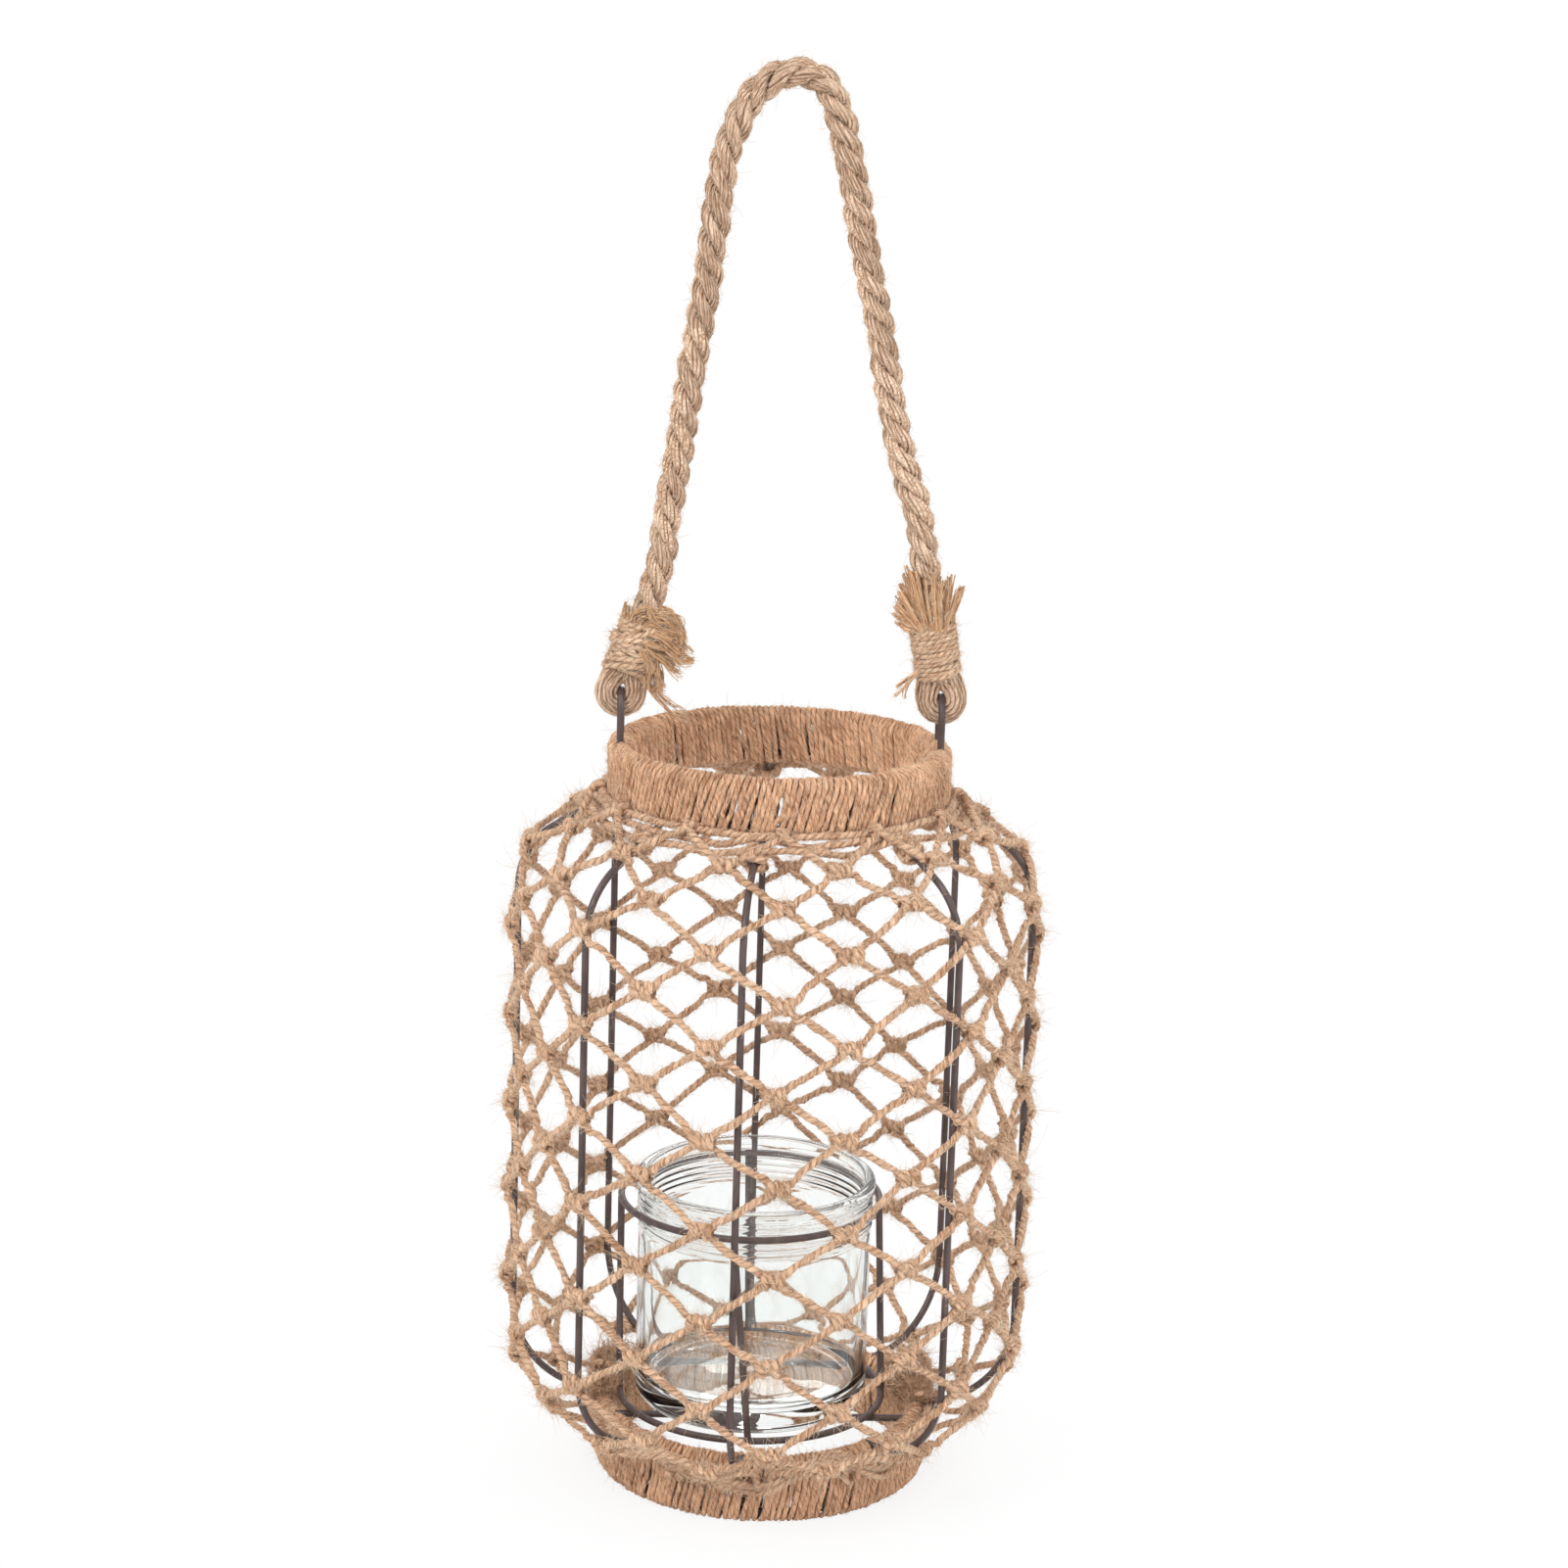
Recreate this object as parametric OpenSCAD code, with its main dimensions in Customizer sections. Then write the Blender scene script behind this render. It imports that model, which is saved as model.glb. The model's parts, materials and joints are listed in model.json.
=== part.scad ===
// Rope-handled candle lantern: a wire frame between two twine-wound collars,
// dressed with a knotted twine net, with a glass jar held in a wire cradle.
// Millimetres, +Z up, origin at the centre of the foot.

/* [Body] */
// Height of the body, from the foot to the top of the upper collar
body_h = 304; // [270:1:360]
// Radius of the circle on which the eight ribs stand, to the wire's centre
rib_circle_r = 103; // [98:1:125]
// Number of ribs
rib_count = 8; // [6:1:8]
// Turn of the ribs away from the front
rib_turn = 3.5; // [2:0.5:5]
// Further turn of each rib, which is bent and set by hand
rib_stray = [-4.7, 0, 0, 0, 5, -2.1, 0, 2.7]; // [-6:0.1:6]
// Slope of the shoulder where a rib leaves the upper collar, in degrees
shoulder_slope = 30; // [25:1:40]
// Bend radius of a rib at the shoulder
shoulder_bend_r = 30; // [15:1:34]
// Bend radius of a rib at the foot
foot_bend_r = 36.7; // [30:0.1:38]

/* [Wire] */
// Diameter of the frame wire
wire_d = 2.8; // [2:0.1:3.4]

/* [Collars] */
// Radius of the collar rings, to the wire's centre
ring_r = 63.6; // [60:0.1:66]
// Height of the upper collar
upper_collar_h = 25; // [22:0.5:34]
// Height of the lower collar
lower_collar_h = 28; // [24:0.5:36]
// Thickness of the twine wound round the collars
wrap_t = 3; // [2.6:0.1:3.4]
// Width of the flat ring on which the lower collar stands
foot_flat_w = 6; // [4:0.5:8]

/* [Net] */
// Diameter of the net's twine
cord_d = 3; // [2.4:0.1:3.2]
// Knots in each row, one for every two cords
knots_per_row = 12; // [10:1:12]
// Rows of knots
knot_rows = 15; // [11:1:15]
// Distance from one row of knots to the next, along the net
row_pitch = 18.4; // [16:0.1:18.6]
// Distance from the head cord to the first row
first_row = 15; // [13:0.5:17]
// Width of one lobe of a knot; two stand side by side
lobe_d = 8; // [7:0.5:8.5]
// Thickness of a knot
knot_t = 4; // [3:0.1:5]

/* [Handle] */
// Diameter of the handle's rope
rope_d = 11.3; // [9:0.1:12]
// Width of the wire eyes that the rope is tied to
eye_w = 16; // [14:0.5:20]
// Height of an eye above the upper collar, to the wire's centre
eye_h = 18.5; // [16:0.5:24]
// Outer diameter of the rope's end loop round an eye
loop_d = 18.6; // [17:0.1:20]
// Outer diameter of the twine lashing above a loop
whipping_d = 18.8; // [17:0.1:20]
// Length of a lashing along the rope
whipping_l = 20; // [14:0.5:24]
// Outer diameter of the frayed ends above a lashing
tuft_d = 22; // [19:0.5:24]
// Length of the frayed ends
tuft_l = 18; // [10:0.5:22]
// Lean of the rope where it leaves the left eye, towards the axis, in degrees
left_lean = 16; // [14:0.5:18]
// Lean of the rope where it leaves the right eye
right_lean = 9; // [7:0.5:11]

/* [Jar] */
// Outer diameter of the jar's body
jar_d = 94.8; // [80:0.1:96]
// Outer diameter of the jar's rolled lip
jar_lip_d = 97.5; // [84:0.5:99]
// Height of the rolled lip
jar_lip_h = 6; // [4:0.5:8]
// Height of the jar
jar_h = 95.2; // [80:0.1:110]
// Thickness of the jar's wall
jar_wall = 3; // [2:0.1:4]
// Thickness of the jar's base
jar_base_t = 8; // [5:0.5:12]
// Radius of the jar's heel
jar_heel_r = 5; // [3:0.5:7]
// Ridges round the jar below its lip
ridge_count = 5; // [3:1:6]
// Height of the band that the ridges stand in
ridge_band = 14; // [10:0.5:18]
// Thickness of one ridge, which stands out by half of it
ridge_h = 1; // [0.6:0.1:1.4]

/* [Cradle] */
// Place of the jar and the cradle's base ring along X: they stand a little to the left
cradle_x = -4.5; // [-4.5:0.1:4.5]
// Further place of the neck ring to the left of them
neck_ring_shift = 2; // [0:0.1:2]
// Radius of the neck ring, to the wire's centre
neck_ring_r = 52.5; // [52:0.1:56]
// Radius of the base ring, to the wire's centre
base_ring_r = 54; // [52:0.1:54]
// Depth of the neck ring below the jar's rim
neck_ring_drop = 9.5; // [8:0.1:30]
// Where the four uprights stand on the base ring, in degrees
upright_foot_a = [90, 180, 268, 0]; // [0:1:360]
// Where they meet the neck ring
upright_head_a = [90, 180, 262, 0]; // [0:1:360]
// Distance between the two bars under the cradle
bar_spacing = 44; // [36:1:56]

/* [Hidden] */
$fn = 48;
side_names = ["left", "right"];
cord_count = 2 * knots_per_row;

jute = "#c8a073";
frayed = "#cd9664";
wire_brown = "#50413f";
glass = "#dfe9e4";

touch_gap = 0.1;    // between wires that are welded where they cross
wrap_gap = 0.2;     // between the wound twine and the wire in it
slide_gap = 0.3;    // between a piece that moves and its neighbour
net_gap = 1.7;      // between the net's twine and the ribs under it
knot_back = 0.5;    // how far a knot stands in behind its cord
lap = 0.05;         // by which a straight length of wire runs on into a bend
bend_thinning = 0.01;   // loss of diameter where the wire is bent
cut_over = 1;       // by which a cut runs on past the surface it opens
knot_hold = 2.3;    // from the middle of a lobe to the end of the cord in it

// Collars: two wire rings each, with the ribs' legs inside them
hook_r = wire_d + touch_gap;
wrap_out = wire_d / 2 + wrap_gap + wrap_t;
foot_sink = wrap_out - sqrt(pow(wrap_out, 2) - pow(foot_flat_w / 2, 2));
base_ring_z = wrap_out - foot_sink;
low_ring_z = lower_collar_h - wrap_out;
neck_ring_z = body_h - upper_collar_h + wrap_out;
top_ring_z = body_h - wrap_out;
collar_r = ring_r + wrap_out;
leg_r = ring_r - hook_r;

// Ribs: hook, shoulder, upright, foot and hook, all in the (r, z) plane
shoulder_end_z = neck_ring_z - hook_r / cos(shoulder_slope)
    - (rib_circle_r - ring_r) * tan(shoulder_slope)
    - shoulder_bend_r * tan((90 - shoulder_slope) / 2);
slope_in_r = ring_r - hook_r * sin(shoulder_slope);
slope_in_z = neck_ring_z - hook_r * cos(shoulder_slope);
slope_out_r = rib_circle_r - shoulder_bend_r * (1 - sin(shoulder_slope));
slope_l = (slope_out_r - slope_in_r) / cos(shoulder_slope);
foot_z = low_ring_z + hook_r;
foot_start_z = foot_z + foot_bend_r;
foot_in_r = rib_circle_r - foot_bend_r;

// Handle eyes, whose half-round top the handle turns about
eye_bend_r = eye_w / 2;
eye_x = sqrt(pow(ring_r, 2) - pow(eye_bend_r, 2));
eye_top_z = body_h + eye_h;
pivot_z = eye_top_z - eye_bend_r;

// Cradle, standing on two bars that lie across the lower collar's upper ring
bar_z = low_ring_z + hook_r;
cradle_base_z = bar_z + hook_r;
bar_half_l = sqrt(pow(ring_r, 2) - pow(bar_spacing / 2, 2));
jar_z = bar_z + wire_d / 2 + touch_gap;
cradle_neck_z = jar_z + jar_h - neck_ring_drop;
cradle_neck_x = cradle_x - neck_ring_shift;

// Net: it lies outside the ribs, so its path is the ribs' path moved outwards
net_out = wire_d / 2 + net_gap + cord_d / 2;
net_slope_r = slope_in_r + net_out * sin(shoulder_slope);
net_slope_z = slope_in_z + net_out * cos(shoulder_slope);
head_cord_lie = 15;     // degrees below the level of the ring it lies against
head_cord_off = wrap_out + cord_d / 2 + touch_gap;
head_cord_r = ring_r + head_cord_off * cos(head_cord_lie);
head_cord_z = neck_ring_z - head_cord_off * sin(head_cord_lie);
head_r = head_cord_r - net_slope_r;
head_z = head_cord_z - net_slope_z;
head_height = head_r * sin(shoulder_slope) + head_z * cos(shoulder_slope);
net_start = head_r * cos(shoulder_slope) - head_z * sin(shoulder_slope)
    + sqrt(pow(cord_d + slide_gap, 2) - pow(head_height, 2));
net_wall_l = shoulder_end_z - foot_start_z;
shoulder_arc_l = (shoulder_bend_r + net_out) * (90 - shoulder_slope) * PI / 180;
foot_arc_l = (foot_bend_r + net_out) * PI / 2;
net_length = slope_l + shoulder_arc_l + net_wall_l + foot_arc_l;
net_end_r = collar_r + cord_d / 2 + touch_gap;
column_a = 180 / knots_per_row;

// Rope handle, in the plane of the eyes. Its ends run straight through the
// lashings and frayed ends. Between them its centre line passes these points:
// [x, height above the eyes' tops]
rope_start = loop_d / 2 + touch_gap;
rope_straight = rope_start + whipping_l + tuft_l + 2 * touch_gap;
rope_bow = [
    [-46.5, 67.5], [-43.5, 87.5], [-40.5, 108.5], [-37.5, 131.5], [-34, 153.5],
    [-31.3, 175.5], [-29, 197.5], [-25.5, 213.5], [-20, 226.5], [-11.5, 236],
    [-0.5, 239.5], [9.5, 236], [15, 225.5], [18.7, 212.5], [22.2, 196.5],
    [26, 178.5], [30, 159.5], [34.5, 140.5], [38, 120.5], [42, 101.5],
    [47, 84.5], [52, 68.5]
];
rope_sides = 12;
rope_path = concat(
    [eye_point("left", rope_start), eye_point("left", rope_straight)],
    [for (p = rope_bow) [p[0], eye_top_z + p[1]]],
    [eye_point("right", rope_straight), eye_point("right", rope_start)]
);

function side_sign(side) = side == "left" ? -1 : 1;

function lean(side) = side == "left" ? left_lean : right_lean;

// A point on the rope's straight end, at a distance from the eye's top: [x, z]
function eye_point(side, l) = [
    side_sign(side) * (eye_x - l * sin(lean(side))),
    eye_top_z + l * cos(lean(side))
];

// ---------------------------------------------------------------- helpers

// A straight round bar between two points
module rod(a, b, d) {
    v = b - a;
    l = norm(v);
    translate(a)
        rotate([0, acos(v.z / l), atan2(v.y, v.x)])
            cylinder(d = d, h = l);
}

// A round bar bent in the (x, z) plane about a centre, from angle a0 to a1.
// Bending draws the bar a hair thinner than its straight lengths
module bend(centre_x, centre_z, r, a0, a1, d) {
    translate([centre_x, 0, centre_z])
        rotate([90, 0, 0])
            rotate_extrude(angle = a1 - a0, start = a0)
                translate([r, 0])
                    circle(d = d - bend_thinning);
}

// A straight length between two bends, running on into both by the lap
module run(a, b, d) {
    along = (b - a) / norm(b - a) * lap;
    rod(a - along, b + along, d);
}

// A wire ring about the Z axis
module ring(r, z, d) {
    translate([0, 0, z])
        rotate_extrude()
            translate([r, 0])
                circle(d = d);
}

// Two round ends and what lies between them, in the (r, z) plane
module stadium(r, z0, z1, half_w) {
    translate([r, z0])
        circle(half_w);
    translate([r, z1])
        circle(half_w);
    translate([r - half_w, z0])
        square([2 * half_w, z1 - z0]);
}

function rib_angle(i) = -90 - rib_turn + (i - 1) * 360 / rib_count + rib_stray[i - 1];

// ------------------------------------------------------------------ frame

module upper_collar_top_ring() {
    color(wire_brown)
        ring(ring_r, top_ring_z, wire_d);
}

module upper_collar_lower_ring() {
    color(wire_brown)
        ring(ring_r, neck_ring_z, wire_d);
}

module lower_collar_upper_ring() {
    color(wire_brown)
        ring(ring_r, low_ring_z, wire_d);
}

module lower_collar_base_ring() {
    color(wire_brown)
        ring(ring_r, base_ring_z, wire_d);
}

// A rib's way into the upper collar: its slope, and its hook round the lower ring
module head_slope(d, l) {
    run([slope_in_r, 0, slope_in_z],
        [slope_in_r + l * cos(shoulder_slope), 0, slope_in_z - l * sin(shoulder_slope)], d);
}

module head_hook(d) {
    bend(ring_r, neck_ring_z, hook_r, 180, 270 - shoulder_slope, d);
}

// A rib's way into the lower collar: its level run, and its hook on the upper ring
module foot_run(d, end_r) {
    run([ring_r, 0, foot_z], [end_r, 0, foot_z], d);
}

module foot_hook(d) {
    bend(ring_r, low_ring_z, hook_r, 90, 180, d);
}

// One rib, from its leg inside the upper collar to its leg inside the lower
module rib_wire(d) {
    run([leg_r, 0, neck_ring_z], [leg_r, 0, top_ring_z], d);
    head_hook(d);
    head_slope(d, slope_l);
    bend(rib_circle_r - shoulder_bend_r, shoulder_end_z, shoulder_bend_r,
         0, 90 - shoulder_slope, d);
    run([rib_circle_r, 0, foot_start_z], [rib_circle_r, 0, shoulder_end_z], d);
    bend(foot_in_r, foot_start_z, foot_bend_r, 270, 360, d);
    foot_run(d, foot_in_r);
    foot_hook(d);
    run([leg_r, 0, base_ring_z], [leg_r, 0, low_ring_z], d);
}

module rib(i) {
    color(wire_brown)
        rotate(rib_angle(i))
            rib_wire(wire_d);
}

// An eye: two legs on the top ring and a half-round top
module handle_eye(side) {
    color(wire_brown)
        translate([side_sign(side) * eye_x, 0, 0])
            rotate(90) {
                for (x = [-eye_bend_r, eye_bend_r])
                    run([x, 0, top_ring_z + hook_r / 2], [x, 0, pivot_z], wire_d);
                bend(0, pivot_z, eye_bend_r, 0, 180, wire_d);
            }
}

// --------------------------------------------------------------- windings

// The cross-section of a wound collar, hollow round its wires
module wrap_section(z0, z1) {
    difference() {
        union() {
            stadium(ring_r, z0, z1, wrap_out);
            stadium(leg_r, z0, z1, wrap_out);
            translate([leg_r, z0 - wrap_out])
                square([hook_r, z1 - z0 + 2 * wrap_out]);
        }
        translate([leg_r - wire_d / 2 - wrap_gap, z0 - wire_d / 2 - wrap_gap])
            square([hook_r + wire_d + 2 * wrap_gap, z1 - z0 + wire_d + 2 * wrap_gap]);
    }
}

module upper_collar_wrap() {
    color(jute)
        difference() {
            rotate_extrude()
                wrap_section(neck_ring_z, top_ring_z);
            for (i = [1:rib_count])
                rotate(rib_angle(i)) {
                    head_hook(wire_d + 2 * touch_gap);
                    head_slope(wire_d + 2 * wrap_gap, 3 * wrap_out);
                }
            for (x = [-eye_x, eye_x])
                for (y = [-eye_bend_r, eye_bend_r])
                    translate([x, y, top_ring_z])
                        cylinder(d = wire_d + 2 * touch_gap, h = 2 * wrap_out);
        }
}

module lower_collar_wrap() {
    color(jute)
        difference() {
            rotate_extrude()
                difference() {
                    wrap_section(base_ring_z, low_ring_z);
                    translate([0, -wrap_out])
                        square([collar_r + cut_over, wrap_out]);
                }
            for (i = [1:rib_count])
                rotate(rib_angle(i)) {
                    foot_hook(wire_d + 2 * touch_gap);
                    foot_run(wire_d + 2 * wrap_gap, collar_r + cut_over);
                }
            for (y = [-bar_spacing / 2, bar_spacing / 2])
                rod([-bar_half_l, y, bar_z], [bar_half_l, y, bar_z], wire_d + 2 * wrap_gap);
        }
}

// ----------------------------------------------------------------- cradle

module cradle_neck_ring() {
    color(wire_brown)
        translate([cradle_neck_x, 0, 0])
            ring(neck_ring_r, cradle_neck_z, wire_d);
}

module cradle_base_ring() {
    color(wire_brown)
        translate([cradle_x, 0, 0])
            ring(base_ring_r, cradle_base_z, wire_d);
}

// A point on a ring about an axis that stands at x
function ring_point(x, r, a, z) = [x + r * cos(a), r * sin(a), z];

// An upright leans a little, so its square-cut ends keep a weld's width clear
module cradle_upright(i) {
    weld = wire_d / 2 + 2 * touch_gap;
    color(wire_brown)
        rod(ring_point(cradle_x, base_ring_r, upright_foot_a[i - 1], cradle_base_z + weld),
            ring_point(cradle_neck_x, neck_ring_r, upright_head_a[i - 1], cradle_neck_z - weld),
            wire_d);
}

module cradle_bar(y) {
    color(wire_brown)
        rod([-bar_half_l, y, bar_z], [bar_half_l, y, bar_z], wire_d);
}

// -------------------------------------------------------------------- jar

module glass_jar() {
    body_r = jar_d / 2;
    lip_z = jar_h - jar_lip_h;
    color(glass, 0.5)
        translate([cradle_x, 0, jar_z])
            rotate_extrude()
                difference() {
                    union() {
                        square([body_r - jar_heel_r, lip_z]);
                        translate([0, jar_heel_r])
                            square([body_r, lip_z - jar_heel_r]);
                        translate([body_r - jar_heel_r, jar_heel_r])
                            circle(jar_heel_r);
                        translate([0, lip_z])
                            square([jar_lip_d / 2, jar_lip_h]);
                        for (i = [1:ridge_count])
                            translate([0, lip_z - i * ridge_band / (ridge_count + 1)])
                                square([body_r + ridge_h / 2, ridge_h]);
                    }
                    translate([0, jar_base_t])
                        square([body_r - jar_wall, jar_h]);
                }
}

// -------------------------------------------------------------------- net

// Point and outward tilt of the net's path, at a distance along it: [r, z, tilt]
function net_at(s) =
    let (slope_rest = (slope_out_r - slope_in_r) / cos(shoulder_slope) - net_start)
    s < slope_rest ? on_slope(s)
    : s < slope_rest + shoulder_arc_l ? on_shoulder(s - slope_rest)
    : s < slope_rest + shoulder_arc_l + net_wall_l
        ? [rib_circle_r + net_out, shoulder_end_z - (s - slope_rest - shoulder_arc_l), 0]
    : on_foot(s - slope_rest - shoulder_arc_l - net_wall_l);

function on_slope(s) = [
    net_slope_r + (net_start + s) * cos(shoulder_slope),
    net_slope_z - (net_start + s) * sin(shoulder_slope),
    90 - shoulder_slope
];

function on_shoulder(s) =
    let (
        bend_r = shoulder_bend_r + net_out,
        a = 90 - shoulder_slope - s / bend_r * 180 / PI
    )
    [
        rib_circle_r - shoulder_bend_r + bend_r * cos(a),
        shoulder_end_z + bend_r * sin(a),
        a
    ];

function on_foot(s) =
    let (
        bend_r = foot_bend_r + net_out,
        last_a = -acos((net_end_r - foot_in_r) / bend_r),
        a = max(-s / bend_r * 180 / PI, last_a)
    )
    [foot_in_r + bend_r * cos(a), foot_start_z + bend_r * sin(a), a];

function net_s(row) = row == 0 ? 0
    : row > knot_rows ? net_length
    : first_row + (row - 1) * row_pitch;

// Angle of a cord's middle at a row: it zigzags between two columns of knots
function cord_angle(row, r) =
    let (
        right = row % 2,
        beside_column = (lobe_d + touch_gap) / 2 / r * 180 / PI
    )
    right * column_a + (1 - 2 * right) * beside_column;

function cord_point(row) =
    let (
        p = net_at(net_s(row)),
        a = cord_angle(row, p[0])
    )
    [p[0] * cos(a), p[0] * sin(a), p[1]];

// One of the two lobes that make a knot: a flat round button on the cord
module lobe(row) {
    p = net_at(net_s(row));
    rotate(cord_angle(row, p[0]))
        translate([p[0], 0, p[1]])
            rotate([0, 90 - p[2], 0])
                translate([0, 0, -cord_d / 2 - knot_back])
                    cylinder(d = lobe_d, h = knot_t);
}

// The stretch of cord below a row, from inside one lobe to inside the next
module stretch(row) {
    a = cord_point(row);
    b = cord_point(row + 1);
    along = (b - a) / norm(b - a) * knot_hold;
    rod(row == 0 ? a : a + along, row == knot_rows ? b : b - along, cord_d);
}

// A cord down the whole net, with its half of each knot that it is tied in
module zigzag_cord() {
    for (row = [0:knot_rows])
        stretch(row);
    for (row = [1:knot_rows])
        lobe(row);
}

// Cords in pairs, each the other's mirror image in the column between them
module net_cord(i) {
    pair = floor((i - 1) / 2);
    color(jute)
        rotate(-90 + 2 * pair * column_a)
            mirror([0, i % 2 == 0 ? 1 : 0, 0])
                zigzag_cord();
}

module net_head_cord() {
    color(jute)
        ring(head_cord_r, head_cord_z, cord_d);
}

// ----------------------------------------------------------------- handle

// Direction of the rope at one of its points, in the (x, z) plane
function rope_dir(i) =
    let (
        last = len(rope_path) - 1,
        v = rope_path[min(i + 1, last)] - rope_path[max(i - 1, 0)]
    )
    v / norm(v);

function rope_section(i) = [
    for (k = [0:rope_sides - 1])
        let (
            a = k * 360 / rope_sides,
            t = rope_dir(i),
            u = rope_d / 2 * cos(a)
        )
        [rope_path[i][0] + u * t[1], rope_d / 2 * sin(a), rope_path[i][1] - u * t[0]]
];

module rope_handle() {
    n = len(rope_path);
    points = [for (i = [0:n - 1]) each rope_section(i)];
    walls = [
        for (i = [0:n - 2])
            for (k = [0:rope_sides - 1])
                let (j = (k + 1) % rope_sides)
                [i * rope_sides + k, (i + 1) * rope_sides + k,
                 (i + 1) * rope_sides + j, i * rope_sides + j]
    ];
    first = [for (k = [0:rope_sides - 1]) k];
    last = [for (k = [rope_sides - 1:-1:0]) (n - 1) * rope_sides + k];
    color(jute)
        polyhedron(points = points, faces = concat(walls, [first, last]));
}

// Places a piece at an eye's top, with its Z along the rope
module at_eye(side) {
    translate([side_sign(side) * eye_x, 0, eye_top_z])
        rotate([0, -side_sign(side) * lean(side), 0])
            children();
}

// The rope's end, opened into its strands and turned round the eye
module rope_loop(side) {
    strand_d = (loop_d - wire_d) / 2 - slide_gap;
    color(jute)
        at_eye(side)
            rotate([90, 0, 0])
                rotate_extrude()
                    translate([(loop_d - strand_d) / 2, 0])
                        circle(d = strand_d);
}

module sleeve(z, d, l) {
    translate([0, 0, z])
        difference() {
            cylinder(d = d, h = l);
            translate([0, 0, -cut_over])
                cylinder(d = rope_d + 2 * touch_gap, h = l + 2 * cut_over);
        }
}

module whipping(side) {
    color(jute)
        at_eye(side)
            sleeve(loop_d / 2 + touch_gap, whipping_d, whipping_l);
}

module frayed_ends(side) {
    color(frayed)
        at_eye(side)
            sleeve(loop_d / 2 + whipping_l + 2 * touch_gap, tuft_d, tuft_l);
}

// ------------------------------------------------------------------- parts

upper_collar_top_ring();
upper_collar_lower_ring();
lower_collar_upper_ring();
lower_collar_base_ring();
upper_collar_wrap();
lower_collar_wrap();
for (i = [1:rib_count])
    rib(i);
for (side = side_names)
    handle_eye(side);
cradle_neck_ring();
cradle_base_ring();
for (i = [1:4])
    cradle_upright(i);
cradle_bar(-bar_spacing / 2);  // cradle_bar_front
cradle_bar(bar_spacing / 2);  // cradle_bar_back
glass_jar();
net_head_cord();
for (i = [1:cord_count])
    net_cord(i);
rope_handle();
for (side = side_names)
    rope_loop(side);
for (side = side_names)
    whipping(side);
for (side = side_names)
    frayed_ends(side);
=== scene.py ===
"""Rope-handled candle lantern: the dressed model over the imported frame."""

import json
import math

import bpy
import numpy as np
from mathutils import Matrix, Vector


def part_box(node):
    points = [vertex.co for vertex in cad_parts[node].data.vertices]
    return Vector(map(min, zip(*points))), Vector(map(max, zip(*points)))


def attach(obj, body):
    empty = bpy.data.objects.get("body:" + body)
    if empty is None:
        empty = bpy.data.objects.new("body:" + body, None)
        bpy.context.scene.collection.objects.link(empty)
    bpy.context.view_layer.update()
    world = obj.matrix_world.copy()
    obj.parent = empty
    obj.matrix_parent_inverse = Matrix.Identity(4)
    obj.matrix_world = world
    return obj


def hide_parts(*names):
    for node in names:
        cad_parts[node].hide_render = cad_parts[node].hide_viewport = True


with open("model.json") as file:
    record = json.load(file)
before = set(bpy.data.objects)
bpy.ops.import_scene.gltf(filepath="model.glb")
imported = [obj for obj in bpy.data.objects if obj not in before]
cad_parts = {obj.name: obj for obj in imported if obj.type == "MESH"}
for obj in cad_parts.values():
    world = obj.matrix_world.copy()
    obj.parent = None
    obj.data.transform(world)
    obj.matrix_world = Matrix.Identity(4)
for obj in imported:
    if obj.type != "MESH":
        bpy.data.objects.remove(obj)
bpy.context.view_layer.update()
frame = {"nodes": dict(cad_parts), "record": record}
nodes = frame["nodes"]

MM = 0.001
SEED = 7
UP = np.array([0, 0, 1.0])


# ------------------------------------------------------------------ sizes
# All lengths below are in millimetres. Those of the wire frame are read from
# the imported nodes, so the twine follows them.

def box_mm(node):
    low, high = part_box(node)
    return np.array(low) / MM, np.array(high) / MM


def ring_of(node):
    """(radius to the wire's centre, height of the wire's centre) of a wire ring."""
    low, high = box_mm(node)
    wire = high[2] - low[2]
    return (high[0] - low[0] - wire) / 2, (high[2] + low[2]) / 2


WIRE_D = float(np.subtract(*box_mm("cradle_base_ring")[::-1])[2])
RING_R, TOP_RING_Z = ring_of("upper_collar_top_ring")
NECK_RING_Z = ring_of("upper_collar_lower_ring")[1]
LOW_RING_Z = ring_of("lower_collar_upper_ring")[1]
BASE_RING_Z = ring_of("lower_collar_base_ring")[1]
HEAD_CORD_R, HEAD_CORD_Z = ring_of("net_head_cord")
RIB_R = float(box_mm("rib_3")[1][0] - WIRE_D / 2)
EYE_LOW, EYE_HIGH = box_mm("handle_eye_right")
EYE_X = float((EYE_LOW[0] + EYE_HIGH[0]) / 2)
EYE_TOP_Z = float(EYE_HIGH[2] - WIRE_D / 2)
JAR_LOW, JAR_HIGH = box_mm("glass_jar")

# the ribs: how they bend, and how far each strays from even spacing, in degrees
TOUCH = 0.1
HOOK_R = WIRE_D + TOUCH
RIB_TURN = 3.5
RIB_STRAY = [-4.7, 0, 0, 0, 5, -2.1, 0, 2.7]
RIB_COUNT = len(RIB_STRAY)
RIB_ANGLES = np.array([math.radians(-90 - RIB_TURN + i * 360 / RIB_COUNT + stray)
                       for i, stray in enumerate(RIB_STRAY)])
SLOPE = math.radians(30)
SHOULDER_R = 30
FOOT_R = 36.7

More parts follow.
